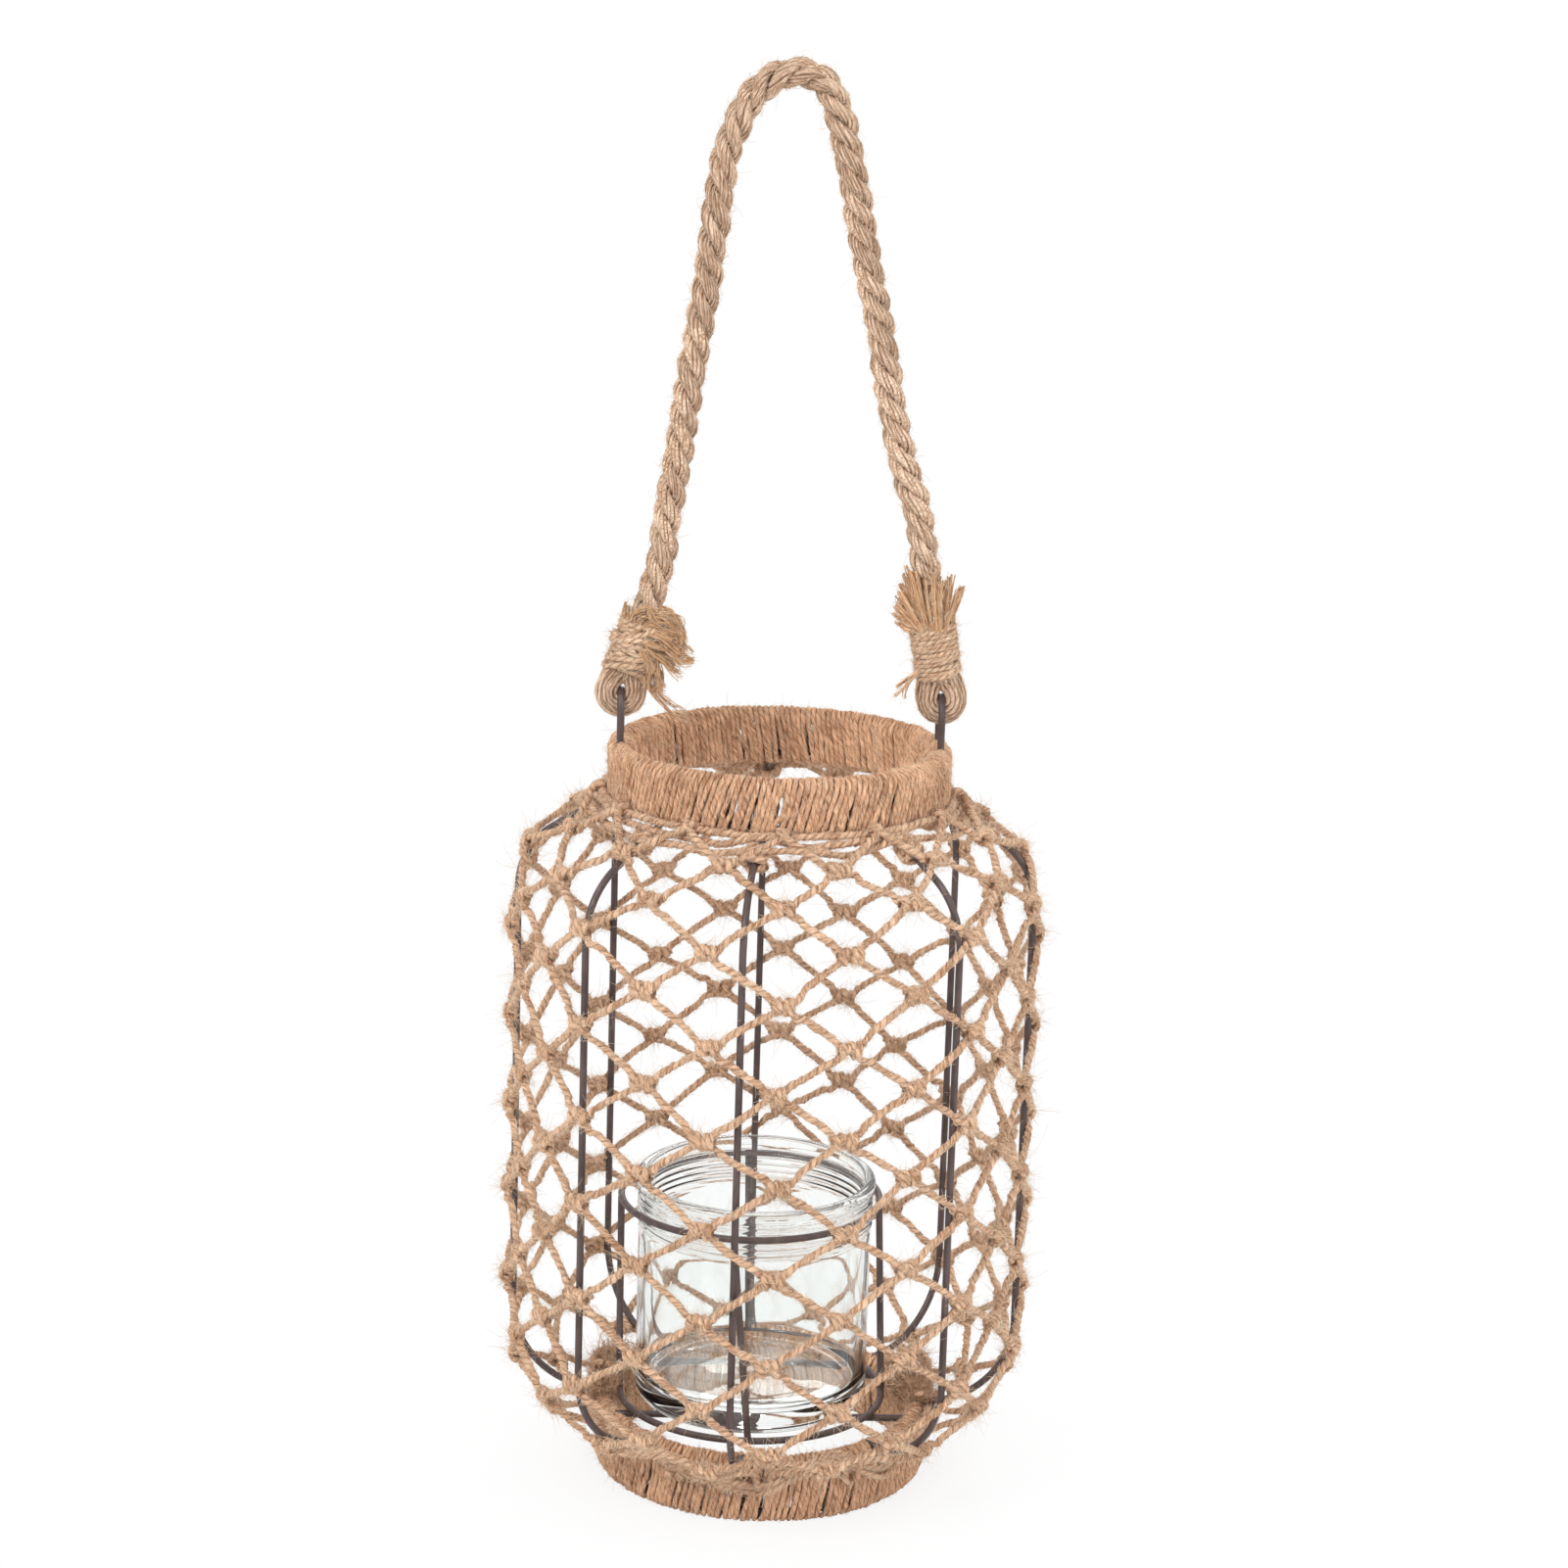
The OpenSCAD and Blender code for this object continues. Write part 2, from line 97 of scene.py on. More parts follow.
# the net: knots stray by so much down the net, round it (radians), in tilt
# (radians) and in size; it sags in between the ribs, less so at its two ends;
# at the back its mesh is turned and lowered a little; a cord's last points are
# given as the share of its way, the radius and the height over the lower collar
TWINE_D = 3.0
TWINE_LAY = 6.6
TWINE_SIDES = 10
KNOTS_PER_ROW = 12
KNOT_ROWS = 15
ROW_PITCH = 18.4
FIRST_ROW = 15
COLUMN = math.pi / KNOTS_PER_ROW
KNOT_STRAY, KNOT_SWAY, KNOT_TILT, KNOT_SIZES = 1.3, 0.012, 0.16, (0.92, 1.12)
KNOT_REACH, KNOT_RISE, KNOT_LIFT = 5.8, 3.9, 0.4
KNOT_HAIRS = 60
SAG = 0.42
SAG_TOP, SAG_FOOT, SAG_LEAST = 60, 70, 0.25
FOOT_OUT = 6
FOOT_ROUTE = [(0.88, 71.2, -0.5), (0.96, 70.2, -5), (1, 69.9, -8)]
BACK_TURN = 0.075
BACK_DROP = 2.0
NET_LENGTH = 292

# the collars' windings: a turn of the coil spends COIL_SIDE of its length on each
# side and COIL_OVER on each bend; a rib's width and how far a slit's push reaches
# are in radians, and a slit's ends are soft over a share of the collar's height
COLLAR_TWINE_D = 2.24
COLLAR_LAY = 10.5
COLLAR_SIDES = 8
COLLAR_TURNS = 178
COLLAR_REACH = 4.5
COIL_STEPS = 16
COIL_SIDE, COIL_OVER = 0.36, 0.14
RIB_WIDTH = 0.09
SLIT_SOFT = 0.12
SLIT_FADE = 0.06
SLIT_LIMIT = 0.25

# the handle: rope, the loops round the eyes, lashings and cut ends
ROPE_R = 5.95
STRAND_R = 2.68
STRAND_CORE_R = STRAND_R * 0.6
STRAND_YARNS = 8
YARN_R = STRAND_R * 0.3
YARN_SIDES = 7
ROPE_LAY = 29
YARN_LAY = 28
LEAN = {"left": math.radians(16), "right": math.radians(9)}
SIDE_SIGN = {"left": -1, "right": 1}
LOOP_D = 18.6
LOOP_YARNS = 11
LOOP_YARN_R = 1.12
LOOP_CORE_R = 1.9
WHIPPING_L = 20
WHIPPING_R = 9.4
WHIPPING_CORE_R = WHIPPING_R - 2.4
ASTRAY_R, ASTRAY_DEPTH = 9.6, 8.9
TUFT_L = 18
CUT_Z = LOOP_D / 2 + WHIPPING_L - 3
ROPE_BOW = [
    (-46.5, 67.5), (-43.5, 87.5), (-40.5, 108.5), (-37.5, 131.5), (-34, 153.5),
    (-31.3, 175.5), (-29, 197.5), (-25.5, 213.5), (-20, 226.5), (-11.5, 236),
    (-0.5, 239.5), (9.5, 236), (15, 225.5), (18.7, 212.5), (22.2, 196.5),
    (26, 178.5), (30, 159.5), (34.5, 140.5), (38, 120.5), (42, 101.5),
    (47, 84.5), (52, 68.5),
]

# the jar
JAR_LIP_OUT = 1.35
JAR_WALL = 3.0
JAR_FLOOR = 8.0
JAR_HEEL_R = 5.0
JAR_LIP_R = 2.2
JAR_LIP_H = 6.5
JAR_MOUTH_R = 1.6
JAR_FLOOR_R = 6
JAR_RIDGES = 5
JAR_RIDGE_PITCH = 2.8
JAR_SIDES = 160


# --------------------------------------------------------------- path tools

SPAN_STEPS = 12
UV_LENGTH = 10
# askew directions, from which a path's normals are started
STRAND_ASIDE = [0.31, 0.74, 0.6]
HAIR_ASIDE = [0.36, 0.48, 0.8]
YARN_ASIDE = [0.1, 1.0, 0.05]


def unit(v):
    return v / np.linalg.norm(v, axis=-1, keepdims=True)


def within(value):
    return min(1.0, max(0.0, value))


def bearings(angle):
    """Outward and sideways directions at an angle round the lantern."""
    return (np.array([math.cos(angle), math.sin(angle), 0]),
            np.array([-math.sin(angle), math.cos(angle), 0]))


def run_along(path):
    """How far along a path each of its points lies."""
    return np.concatenate([[0], np.cumsum(np.linalg.norm(np.diff(path, axis=0), axis=1))])


def smooth_path(points, step):
    """Points a step apart along a Catmull-Rom curve through the given points."""
    p = np.asarray(points, float)
    p = np.vstack([2 * p[0] - p[1], p, 2 * p[-1] - p[-2]])
    t = np.linspace(0, 1, SPAN_STEPS, endpoint=False)[:, None]
    out = []
    for a, b, c, d in zip(p[:-3], p[1:-2], p[2:-1], p[3:]):
        out.append(0.5 * (2 * b + (c - a) * t + (2 * a - 5 * b + 4 * c - d) * t ** 2
                          + (3 * b - a - 3 * c + d) * t ** 3))
    fine = np.vstack(out + [p[-2][None]])
    run = run_along(fine)
    at = np.linspace(0, run[-1], max(int(round(run[-1] / step)), 2) + 1)
    return np.stack([np.interp(at, run, fine[:, i]) for i in range(3)], 1)


def path_frames(path):
    """Tangent and two normals at each point, carried along without twist."""
    tangent = unit(np.gradient(path, axis=0))
    first = np.cross(tangent[0], STRAND_ASIDE)
    normal = np.empty_like(path)
    normal[0] = first / np.linalg.norm(first)
    for i in range(1, len(path)):
        n = normal[i - 1] - tangent[i] * np.dot(normal[i - 1], tangent[i])
        normal[i] = n / math.sqrt(np.dot(n, n))
    return tangent, normal, np.cross(tangent, normal)


def wander(rng, run, spacing):
    """A random value from -1 to 1 along a run, drawn at every spacing and blended in between."""
    at = np.arange(0, run[-1] + 2 * spacing, spacing)
    return np.interp(run, at, rng.uniform(-1, 1, len(at)))


def tube_faces(rows, sides):
    """Quads that join each ring of points to the next one."""
    i = np.arange(rows - 1)[:, None] * sides
    j = np.arange(sides)
    j2 = (j + 1) % sides
    return np.stack([i + j, i + j2, i + sides + j2, i + sides + j], -1).reshape(-1, 4)


def add_object(name, data):
    thing = bpy.data.objects.new(name, data)
    bpy.context.scene.collection.objects.link(thing)
    return thing


class Shape:
    """Vertices, faces and strand coordinates gathered into one mesh."""

    def __init__(self):
        self.verts, self.faces, self.uvs, self.count = [], [], [], 0

    def add(self, verts, faces, uv):
        self.faces.append(faces + self.count)
        self.verts.append(verts)
        self.uvs.append(uv)
        self.count += len(verts)

    def strand(self, path, radius, sides=8, plies=1, depth=0.0, lay=9.0, phase=0.0,
               flat=1.0, taper=1.0, shift=0.0, rough=0.0):
        """A round strand along a path, or one laid up of plies that twist round it."""
        _, n, b = path_frames(path)
        s = run_along(path)
        j = np.arange(sides)
        k = j * 2 * math.pi / sides
        turn = np.zeros((len(s), 1))
        form = np.ones(sides)
        if plies > 1:
            turn = (phase - 2 * math.pi * s / lay)[:, None]
            form = 1 - depth * (1 - np.abs(np.cos(plies * k / 2)) ** 0.7)
        form = form * (1 + rough)
        size = (radius * (np.ones(len(s)) * taper))[:, None]
        x = np.cos(k + turn) * form * size
        y = np.sin(k + turn) * form * size * flat
        v = path[:, None] + x[..., None] * n[:, None] + y[..., None] * b[:, None]
        across = np.abs(2 * j / sides - 1)
        uv = np.stack(np.broadcast_arrays((s[:, None] + shift) / UV_LENGTH, across[None]), -1)
        self.add(v.reshape(-1, 3), tube_faces(len(path), sides), uv.reshape(-1, 2))

    def hairs(self, paths, thick, rng, tip=0.35):
        """Many thin fibres at once, all with the same number of points."""
        count, steps = paths.shape[:2]
        run = unit(paths[:, -1] - paths[:, 0])
        n = unit(np.cross(run, HAIR_ASIDE))
        b = np.cross(run, n)
        j = np.arange(3)
        k = (j * 2 * math.pi / 3)[:, None]
        ring = np.cos(k) * n[:, None] + np.sin(k) * b[:, None]
        size = thick * np.linspace(1, tip, steps)[None, :, None, None]
        verts = paths[:, :, None] + ring[:, None] * size
        first = 3 * steps * np.arange(count)[:, None, None]
        shift = rng.uniform(0, 40, (count, 1, 1)) + np.linspace(0, 0.6, steps)[None, :, None]
        uv = np.stack(np.broadcast_arrays(shift, 0.4 * j[None, None] / 3), -1)
        self.add(verts.reshape(-1, 3), (tube_faces(steps, 3) + first).reshape(-1, 4), uv.reshape(-1, 2))

    def make(self, name, material):
        """The gathered mesh as an object, kept from going below the floor."""
        verts = np.vstack(self.verts) * MM
        verts[:, 2] = np.maximum(verts[:, 2], 0)
        faces = np.vstack(self.faces)
        uvs = np.vstack(self.uvs)
        mesh = bpy.data.meshes.new(name)
        mesh.vertices.add(len(verts))
        mesh.vertices.foreach_set("co", verts.astype(np.float32).ravel())
        mesh.loops.add(faces.size)
        mesh.loops.foreach_set("vertex_index", faces.astype(np.int32).ravel())
        mesh.polygons.add(len(faces))
        mesh.polygons.foreach_set("loop_start", np.arange(0, faces.size, faces.shape[1], dtype=np.int32))
        mesh.polygons.foreach_set("use_smooth", np.ones(len(faces), bool))
        layer = mesh.uv_layers.new(name="strand")
        layer.data.foreach_set("uv", uvs[faces.ravel()].astype(np.float32).ravel())
        mesh.update(calc_edges=True)
        mesh.validate()
        mesh.materials.append(material)
        return add_object(name, mesh)


def twine(shape, points, rng, step=0.95, d=TWINE_D, wave=0.18, depth=0.25):
    """Two-ply jute twine through the points, a little uneven as hand-laid twine is."""
    path = smooth_path(points, step)
    s = run_along(path)
    size = 1 + 0.11 * wander(rng, s, 5) + 0.05 * rng.standard_normal(len(s))
    off = np.stack([wander(rng, s, 9) for _ in range(3)], 1)
    ends = np.clip(np.minimum(s, s[-1] - s) / 5, 0, 1)[:, None]
    path = path + wave * off * ends
    drift = rng.uniform(0, 6.3) + 1.5 * wander(rng, s, 18)
    shape.strand(path, d / 2, sides=TWINE_SIDES, plies=2, depth=depth, lay=TWINE_LAY, phase=drift, taper=size,
                 shift=rng.uniform(0, 400), rough=0.1 * rng.standard_normal((len(s), TWINE_SIDES)))
    return path


def open_curls(start, head, curl, length, steps):
    """Fibre paths that leave their starts in a direction and curl off it."""
    t = np.linspace(0, 1, steps)[None, :, None]
    return start[:, None] + length[:, None] * (head[:, None] * t + curl[:, None] * t ** 2)


def fuzz(shape, path, rng, per_mm, reach=3.4, off=1.2, thick=0.12, steps=4):
    """Loose fibres that stand off a strand and curl back along it."""
    count = int(per_mm * run_along(path)[-1])
    if not count:
        return
    tangent, n, b = path_frames(path)
    i = rng.integers(0, len(path), count)
    a = rng.uniform(0, 2 * math.pi, (count, 1))
    side = np.cos(a) * n[i] + np.sin(a) * b[i]
    along = tangent[i] * rng.choice([-1.0, 1.0], (count, 1))
    length = reach * rng.uniform(0.3, 1.0, (count, 1)) ** 1.4
    lift = rng.uniform(0.12, 0.95, (count, 1))
    bend = rng.standard_normal((count, 3)) * 0.28
    t = np.linspace(0, 1, steps)[None, :, None]
    rise = (side * lift)[:, None] * (t - 0.5 * t ** 2)
    glide = (along * (1 - 0.5 * lift))[:, None] * t
    paths = (path[i] + side * off)[:, None] + length[:, None] * (rise + glide + bend[:, None] * t ** 2)
    shape.hairs(paths, thick, rng)


def nap(shape, path, rng, short, long):
    """Short fibres all along a strand and a few long ones: (number a mm, reach, distance out) of each."""
    fuzz(shape, path, rng, *short)
    fuzz(shape, path, rng, *long, thick=0.1, steps=7)


# ---------------------------------------------------------------- materials

def set_inputs(tree, node, values):
    """Link the sockets among the values to a node's inputs, and set the rest as they are."""
    for key, value in values.items():
        if isinstance(value, bpy.types.NodeSocket):
            tree.links.new(value, node.inputs[key])
        else:
            node.inputs[key].default_value = value


def add_node(tree, kind, values):
    node = tree.nodes.new("ShaderNode" + kind)
    set_inputs(tree, node, values)
    return node


def add_math(tree, operation, *values):
    node = add_node(tree, "Math", dict(enumerate(values)))
    node.operation = operation
    return node.outputs[0]


def add_sum(tree, *weighted):
    """The sum of (socket, weight) pairs."""
    total = None
    for socket, weight in weighted:
        part = add_math(tree, "MULTIPLY", socket, weight)
        total = part if total is None else add_math(tree, "ADD", total, part)
    return total


def add_noise(tree, vector, scale, detail=3.0, rough=0.6):
    return add_node(tree, "TexNoise", {"Vector": vector, "Scale": scale, "Detail": detail,
                                       "Roughness": rough}).outputs["Fac"]


def add_mix(tree, factor, a, b):
    node = tree.nodes.new("ShaderNodeMix")
    node.data_type = "RGBA"
    set_inputs(tree, node, {0: factor, 6: a, 7: b})
    return node.outputs[2]


def add_range(tree, value, low, high, to_low=0.0, to_high=1.0):
    return add_node(tree, "MapRange", dict(enumerate((value, low, high, to_low, to_high)))).outputs[0]


def add_position(tree):
    return tree.nodes.new("ShaderNodeNewGeometry").outputs["Position"]


def add_relief(tree, shader, height, strength, distance):
    bump = add_node(tree, "Bump", {"Height": height, "Strength": strength, "Distance": distance})
    set_inputs(tree, shader, {"Normal": bump.outputs[0]})


def mix_shaders(tree, factor, first, second, out):
    mix = add_node(tree, "MixShader", {0: factor, 1: first.outputs[0], 2: second.outputs[0]})
    set_inputs(tree, out, {0: mix.outputs[0]})


def new_group(name, inputs, outputs):
    group = bpy.data.node_groups.new(name, "ShaderNodeTree")
    for label, kind, value in inputs:
        socket = group.interface.new_socket(label, in_out="INPUT", socket_type=kind)
        socket.default_value = value
    for label, kind in outputs:
        group.interface.new_socket(label, in_out="OUTPUT", socket_type=kind)
    return group, group.nodes.new("NodeGroupInput"), group.nodes.new("NodeGroupOutput")


def fibre_group():
    """Jute fibres along a strand: colour with painted crease shade, roughness and height, from the strand
    coordinates.
    """
    group, enter, leave = new_group(
        "jute_fibres",
        [("Pale", "NodeSocketColor", (0.7, 0.5, 0.3, 1)),
         ("Deep", "NodeSocketColor", (0.4, 0.22, 0.1, 1)),
         # the crease colour and its depth paint the shade that falls between the plies
         ("Crease Shade", "NodeSocketColor", (0.2, 0.1, 0.05, 1)),
         ("Twist", "NodeSocketFloat", 1.0),
         ("Crease Shade Depth", "NodeSocketFloat", 0.6)],
        [("Color", "NodeSocketColor"), ("Roughness", "NodeSocketFloat"), ("Height", "NodeSocketFloat")])
    uv = group.nodes.new("ShaderNodeUVMap")
    uv.uv_map = "strand"
    u, v = add_node(group, "SeparateXYZ", {0: uv.outputs[0]}).outputs[:2]
    # fibres run along the ply, which crosses the strand coordinates at a slant
    slant = add_math(group, "MULTIPLY", u, enter.outputs["Twist"])
    across = add_math(group, "ADD", v, slant)

    def fibre_noise(stretch, fineness, scale, detail, rough=0.6):
        space = add_node(group, "CombineXYZ", {0: add_math(group, "MULTIPLY", u, stretch),
                                               1: add_math(group, "MULTIPLY", across, fineness)})
        return add_noise(group, space.outputs[0], scale, detail, rough)

    fine = fibre_noise(1.0, 4.8, 2.1, 4.0, 0.7)
    broad = fibre_noise(0.5, 1.6, 1.3, 2.0)
    patch = add_noise(group, add_position(group), 55.0, 2.0)
    tone = add_sum(group, (fine, 0.6), (broad, 0.25), (patch, 0.12))
    body = add_mix(group, add_range(group, tone, 0.41, 0.55), enter.outputs["Deep"], enter.outputs["Pale"])
    # v is 0.5 in the crease between the two plies and 0 or 1 on their crests; shade is painted into the
    # crease there
    near = add_math(group, "ABSOLUTE", add_math(group, "SUBTRACT", v, 0.5))
    crease_shade = add_math(group, "MULTIPLY", add_range(group, near, 0.22, 0.0), enter.outputs["Crease Shade Depth"])
    fleck = add_range(group, fibre_noise(3.0, 5.0, 2.4, 1.0), 0.66, 0.74, 0.0, 0.55)
    # painted crease shade, together with random dark flecks along the fibres, both drawn in the crease shade
    # colour
    shade = add_math(group, "MAXIMUM", crease_shade, fleck)
    set_inputs(group, leave, {
        "Color": add_mix(group, shade, body, enter.outputs["Crease Shade"]),
        "Roughness": add_range(group, fine, 0.3, 0.8, 0.95, 0.78),
        "Height": add_math(group, "ADD", fine, add_math(group, "MULTIPLY", broad, 0.5))})
    return group


FIBRES = fibre_group()


def new_material(name, values=None):
    material = bpy.data.materials.new(name)
    material.use_nodes = True
    tree = material.node_tree
    shader = tree.nodes["Principled BSDF"]
    set_inputs(tree, shader, values or {})
    return material, tree, shader


def jute(name, pale, deep, crease_shade, twist, crease_shade_depth, bump=0.6):
    """Jute with its pale and deep colours and the colour of the shade painted into the crease between its
    plies.
    """
    material, tree, shader = new_material(name, {
        "Specular IOR Level": 0.25, "Sheen Weight": 0.25, "Sheen Roughness": 0.4,
        "Sheen Tint": (1.0, 0.86, 0.66, 1)})
    fibres = tree.nodes.new("ShaderNodeGroup")
    fibres.node_tree = FIBRES
    set_inputs(tree, fibres, {"Pale": (*pale, 1), "Deep": (*deep, 1), "Crease Shade": (*crease_shade, 1),
                              "Twist": twist, "Crease Shade Depth": crease_shade_depth})
    set_inputs(tree, shader, {"Base Color": fibres.outputs["Color"],
                              "Roughness": fibres.outputs["Roughness"]})
    add_relief(tree, shader, fibres.outputs["Height"], bump, 0.001)
    return material


def painted_wire():
    """Dark brown paint on drawn wire, rubbed a little paler along it."""
    material, tree, shader = new_material("brown_painted_wire")
    spot = add_position(tree)
    drawn = add_node(tree, "Mapping", {"Vector": spot, "Scale": (260, 260, 40)})
    streak = add_noise(tree, drawn.outputs[0], 1.0, 4.0, 0.65)
    patch = add_range(tree, add_noise(tree, spot, 70.0), 0.35, 0.7)
    paint = add_mix(tree, patch, (0.056, 0.036, 0.033, 1), (0.110, 0.074, 0.069, 1))
    rubbed = add_range(tree, streak, 0.55, 0.8, 0.0, 0.55)
    set_inputs(tree, shader, {"Base Color": add_mix(tree, rubbed, paint, (0.27, 0.20, 0.185, 1)),
                              "Roughness": add_range(tree, streak, 0.3, 0.75, 0.58, 0.36)})
    add_relief(tree, shader, streak, 0.25, 0.0002)
    return material


def jar_glass():
    """Clear pressed glass with slow waves in it, which lets most light through to its shadow."""
    material, tree, shader = new_material("pressed_glass", {
        "Transmission Weight": 1.0, "Roughness": 0.015, "IOR": 1.48, "Base Color": (0.97, 0.99, 0.98, 1)})
    waves = add_node(tree, "Mapping", {"Vector": add_position(tree), "Scale": (30, 30, 48)})
    add_relief(tree, shader, add_noise(tree, waves.outputs[0], 1.0, 1.5, 0.45), 0.16, 0.002)
    through = add_node(tree, "BsdfTransparent", {"Color": (0.95, 0.965, 0.96, 1)})
    shadow = tree.nodes.new("ShaderNodeLightPath").outputs["Is Shadow Ray"]
    mix_shaders(tree, shadow, shader, through, tree.nodes["Material Output"])
    return material


WIRE = painted_wire()
GLASS = jar_glass()
# each jute: pale and deep colours, the colour of the shade painted into the crease between its plies, twist,
# and how strongly that shade is painted
NET_JUTE = jute("net_jute", (1.0, 0.69, 0.47), (0.39, 0.187, 0.095), (0.14, 0.062, 0.03), 0.9, 0.55)
COLLAR_JUTE = jute("collar_jute", (1.0, 0.63, 0.40), (0.30, 0.122, 0.054), (0.08, 0.032, 0.014), 0.3, 0.25)
ROPE_JUTE = jute("rope_jute", (1.0, 0.76, 0.57), (0.40, 0.21, 0.115), (0.12, 0.058, 0.028), 1.2, 0.8)
LASHING_JUTE = jute("lashing_jute", (1.0, 0.73, 0.52), (0.5, 0.265, 0.145), (0.16, 0.075, 0.036), 0.9, 0.7)
FRAYED_JUTE = jute("frayed_jute", (1.0, 0.66, 0.39), (0.50, 0.235, 0.105), (0.13, 0.055, 0.022), 0.2, 0.5)
HAIR_JUTE = jute("loose_fibre", (1.0, 0.87, 0.70), (0.68, 0.46, 0.29), (0.36, 0.22, 0.13), 0.2, 0.1, 0.0)


# ------------------------------------------------------------------ collars

# Slits in a collar's winding: angle in degrees, half width, and the heights
# within the collar, from 0 at its foot to 1 at its rim, between which it opens.
UPPER_SLITS = [(-90.8, 1.0, -0.1, 0.85), (-51.3, 0.8, 0.15, 0.95), (-57.5, 0.4, 0.6, 0.95),
               (-68, 0.6, 0.35, 0.6), (-107.5, 0.7, 0.25, 0.55), (77, 0.6, 0.1, 0.8), (74.5, 0.4, 0.1, 0.9),
               (102, 0.6, 0.2, 0.5), (71, 0.5, 0.2, 0.5), (-20, 0.35, 0.1, 0.8), (150, 0.4, 0, 0.8),
               (200, 0.4, 0, 0.7)]
LOWER_SLITS = [(-134, 0.8, 0.2, 0.6), (-89, 0.75, -0.1, 0.5), (-96.5, 0.6, 0.1, 0.6), (-30, 0.3, 0.1, 0.9),
               (40, 0.6, 0.1, 0.7), (95, 0.6, 0.2, 0.8), (160, 0.5, 0.1, 0.7)]


def turn_gap(angle, mark):
    """Signed angle from a mark to an angle, the short way round."""
    return (angle - mark + math.pi) % (2 * math.pi) - math.pi


def near_rib(angle):
    """1 where a rib's leg lies, falling to 0 at a rib's width from it."""
    gap = np.abs(turn_gap(angle, RIB_ANGLES)).min()
    return max(0.0, 1 - gap / RIB_WIDTH) ** 0.5


def slit_shift(angle, level, slits):
    """How far the slits push a turn aside, in millimetres."""
    shift = 0.0
    for degrees, half, low, high in slits:
        away = turn_gap(angle, math.radians(degrees))
        if abs(away) < SLIT_LIMIT:
            opened = (within((level - low + SLIT_SOFT) / (2 * SLIT_SOFT))
                      * within((high + SLIT_SOFT - level) / (2 * SLIT_SOFT)))
            shift += half * opened * math.copysign(math.exp(-abs(away) / SLIT_FADE), away)
    return shift


def turn_clusters(rng):
    """Turns lie in loose bunches: each turn's pull towards the middle of its bunch."""
    pull = np.zeros(COLLAR_TURNS + 1)
    start = 0
    while start < COLLAR_TURNS:
        size = int(rng.integers(3, 8))
        tight = rng.uniform(0.02, 0.1)
        own = np.arange(start, min(start + size, COLLAR_TURNS))
        pull[own] = -tight * (own - own.mean())
        start += size
    return pull


def coil_place(part, low_z, high_z, reach, rib):
    """(r, z) of the coil at a part of its turn: up the outside, over, down the inside, under."""
    inner = reach + rib * HOOK_R * 0.9
    tall = high_z - low_z
    if part < COIL_SIDE:
        return RING_R + reach, low_z + tall * part / COIL_SIDE
    if part < 0.5:
        a = math.pi * (part - COIL_SIDE) / COIL_OVER
        side = reach if a < math.pi / 2 else inner
        return RING_R + side * math.cos(a), high_z + reach * math.sin(a)
    if part < 0.5 + COIL_SIDE:
        return RING_R - inner, high_z - tall * (part - 0.5) / COIL_SIDE
    a = math.pi * (1 + (part - (0.5 + COIL_SIDE)) / COIL_OVER)
    side = inner if a < 1.5 * math.pi else reach
    return RING_R + side * math.cos(a), low_z + reach * math.sin(a)


def wound_collar(low_z, high_z, slits, seed):
    """Twine wound round two rings and the ribs' legs, as one long coil."""
    rng = np.random.default_rng(seed)
    pitch = 2 * math.pi * RING_R / COLLAR_TURNS
    reach = COLLAR_REACH - COLLAR_TWINE_D / 2
    wobble = rng.uniform(-1, 1, (COLLAR_TURNS + 1, 4))
    pull = turn_clusters(rng)
    ragged, loose, jitter, bob, slant = 0.26, 0.28, 0.16, 0.3, 0.75
    points = []
    for k in range(COLLAR_TURNS * COIL_STEPS):
        turn, part = k // COIL_STEPS, k % COIL_STEPS / COIL_STEPS
        mix = wobble[turn] * (1 - part) + wobble[turn + 1] * part
        angle = 2 * math.pi * (turn + part) / COLLAR_TURNS
        r, z = coil_place(part, low_z, high_z, reach + ragged * mix[1], near_rib(angle))
        level = (z - low_z) / (high_z - low_z)
        slack = within(1.05 - level) ** 0.7
        lean = pitch * slant * (2 * level - 1)
        aside = lean + slit_shift(angle, level, slits) + slack * pitch * (pull[turn] + loose * mix[0])
        angle += (aside + jitter * rng.uniform(-1, 1)) / RING_R
        points.append((r * math.cos(angle), r * math.sin(angle), z + bob * mix[2]))
    path = smooth_path(points, 1.25)
    s = run_along(path)
    size = 1 + 0.08 * wander(rng, s, 5) + 0.035 * rng.standard_normal(len(s))
    drift = 2.6 * wander(rng, s, 11)
    shape, hairs = Shape(), Shape()
    shape.strand(path, COLLAR_TWINE_D / 2, sides=COLLAR_SIDES, plies=2, depth=0.07, lay=COLLAR_LAY,
                 phase=drift, taper=size, rough=0.07 * rng.standard_normal((len(s), COLLAR_SIDES)))
    off = COLLAR_TWINE_D * 0.42
    nap(hairs, path, rng, (1.6, 3.4, off), (0.10, 10, off))
    return shape, hairs


# ---------------------------------------------------------------------- net

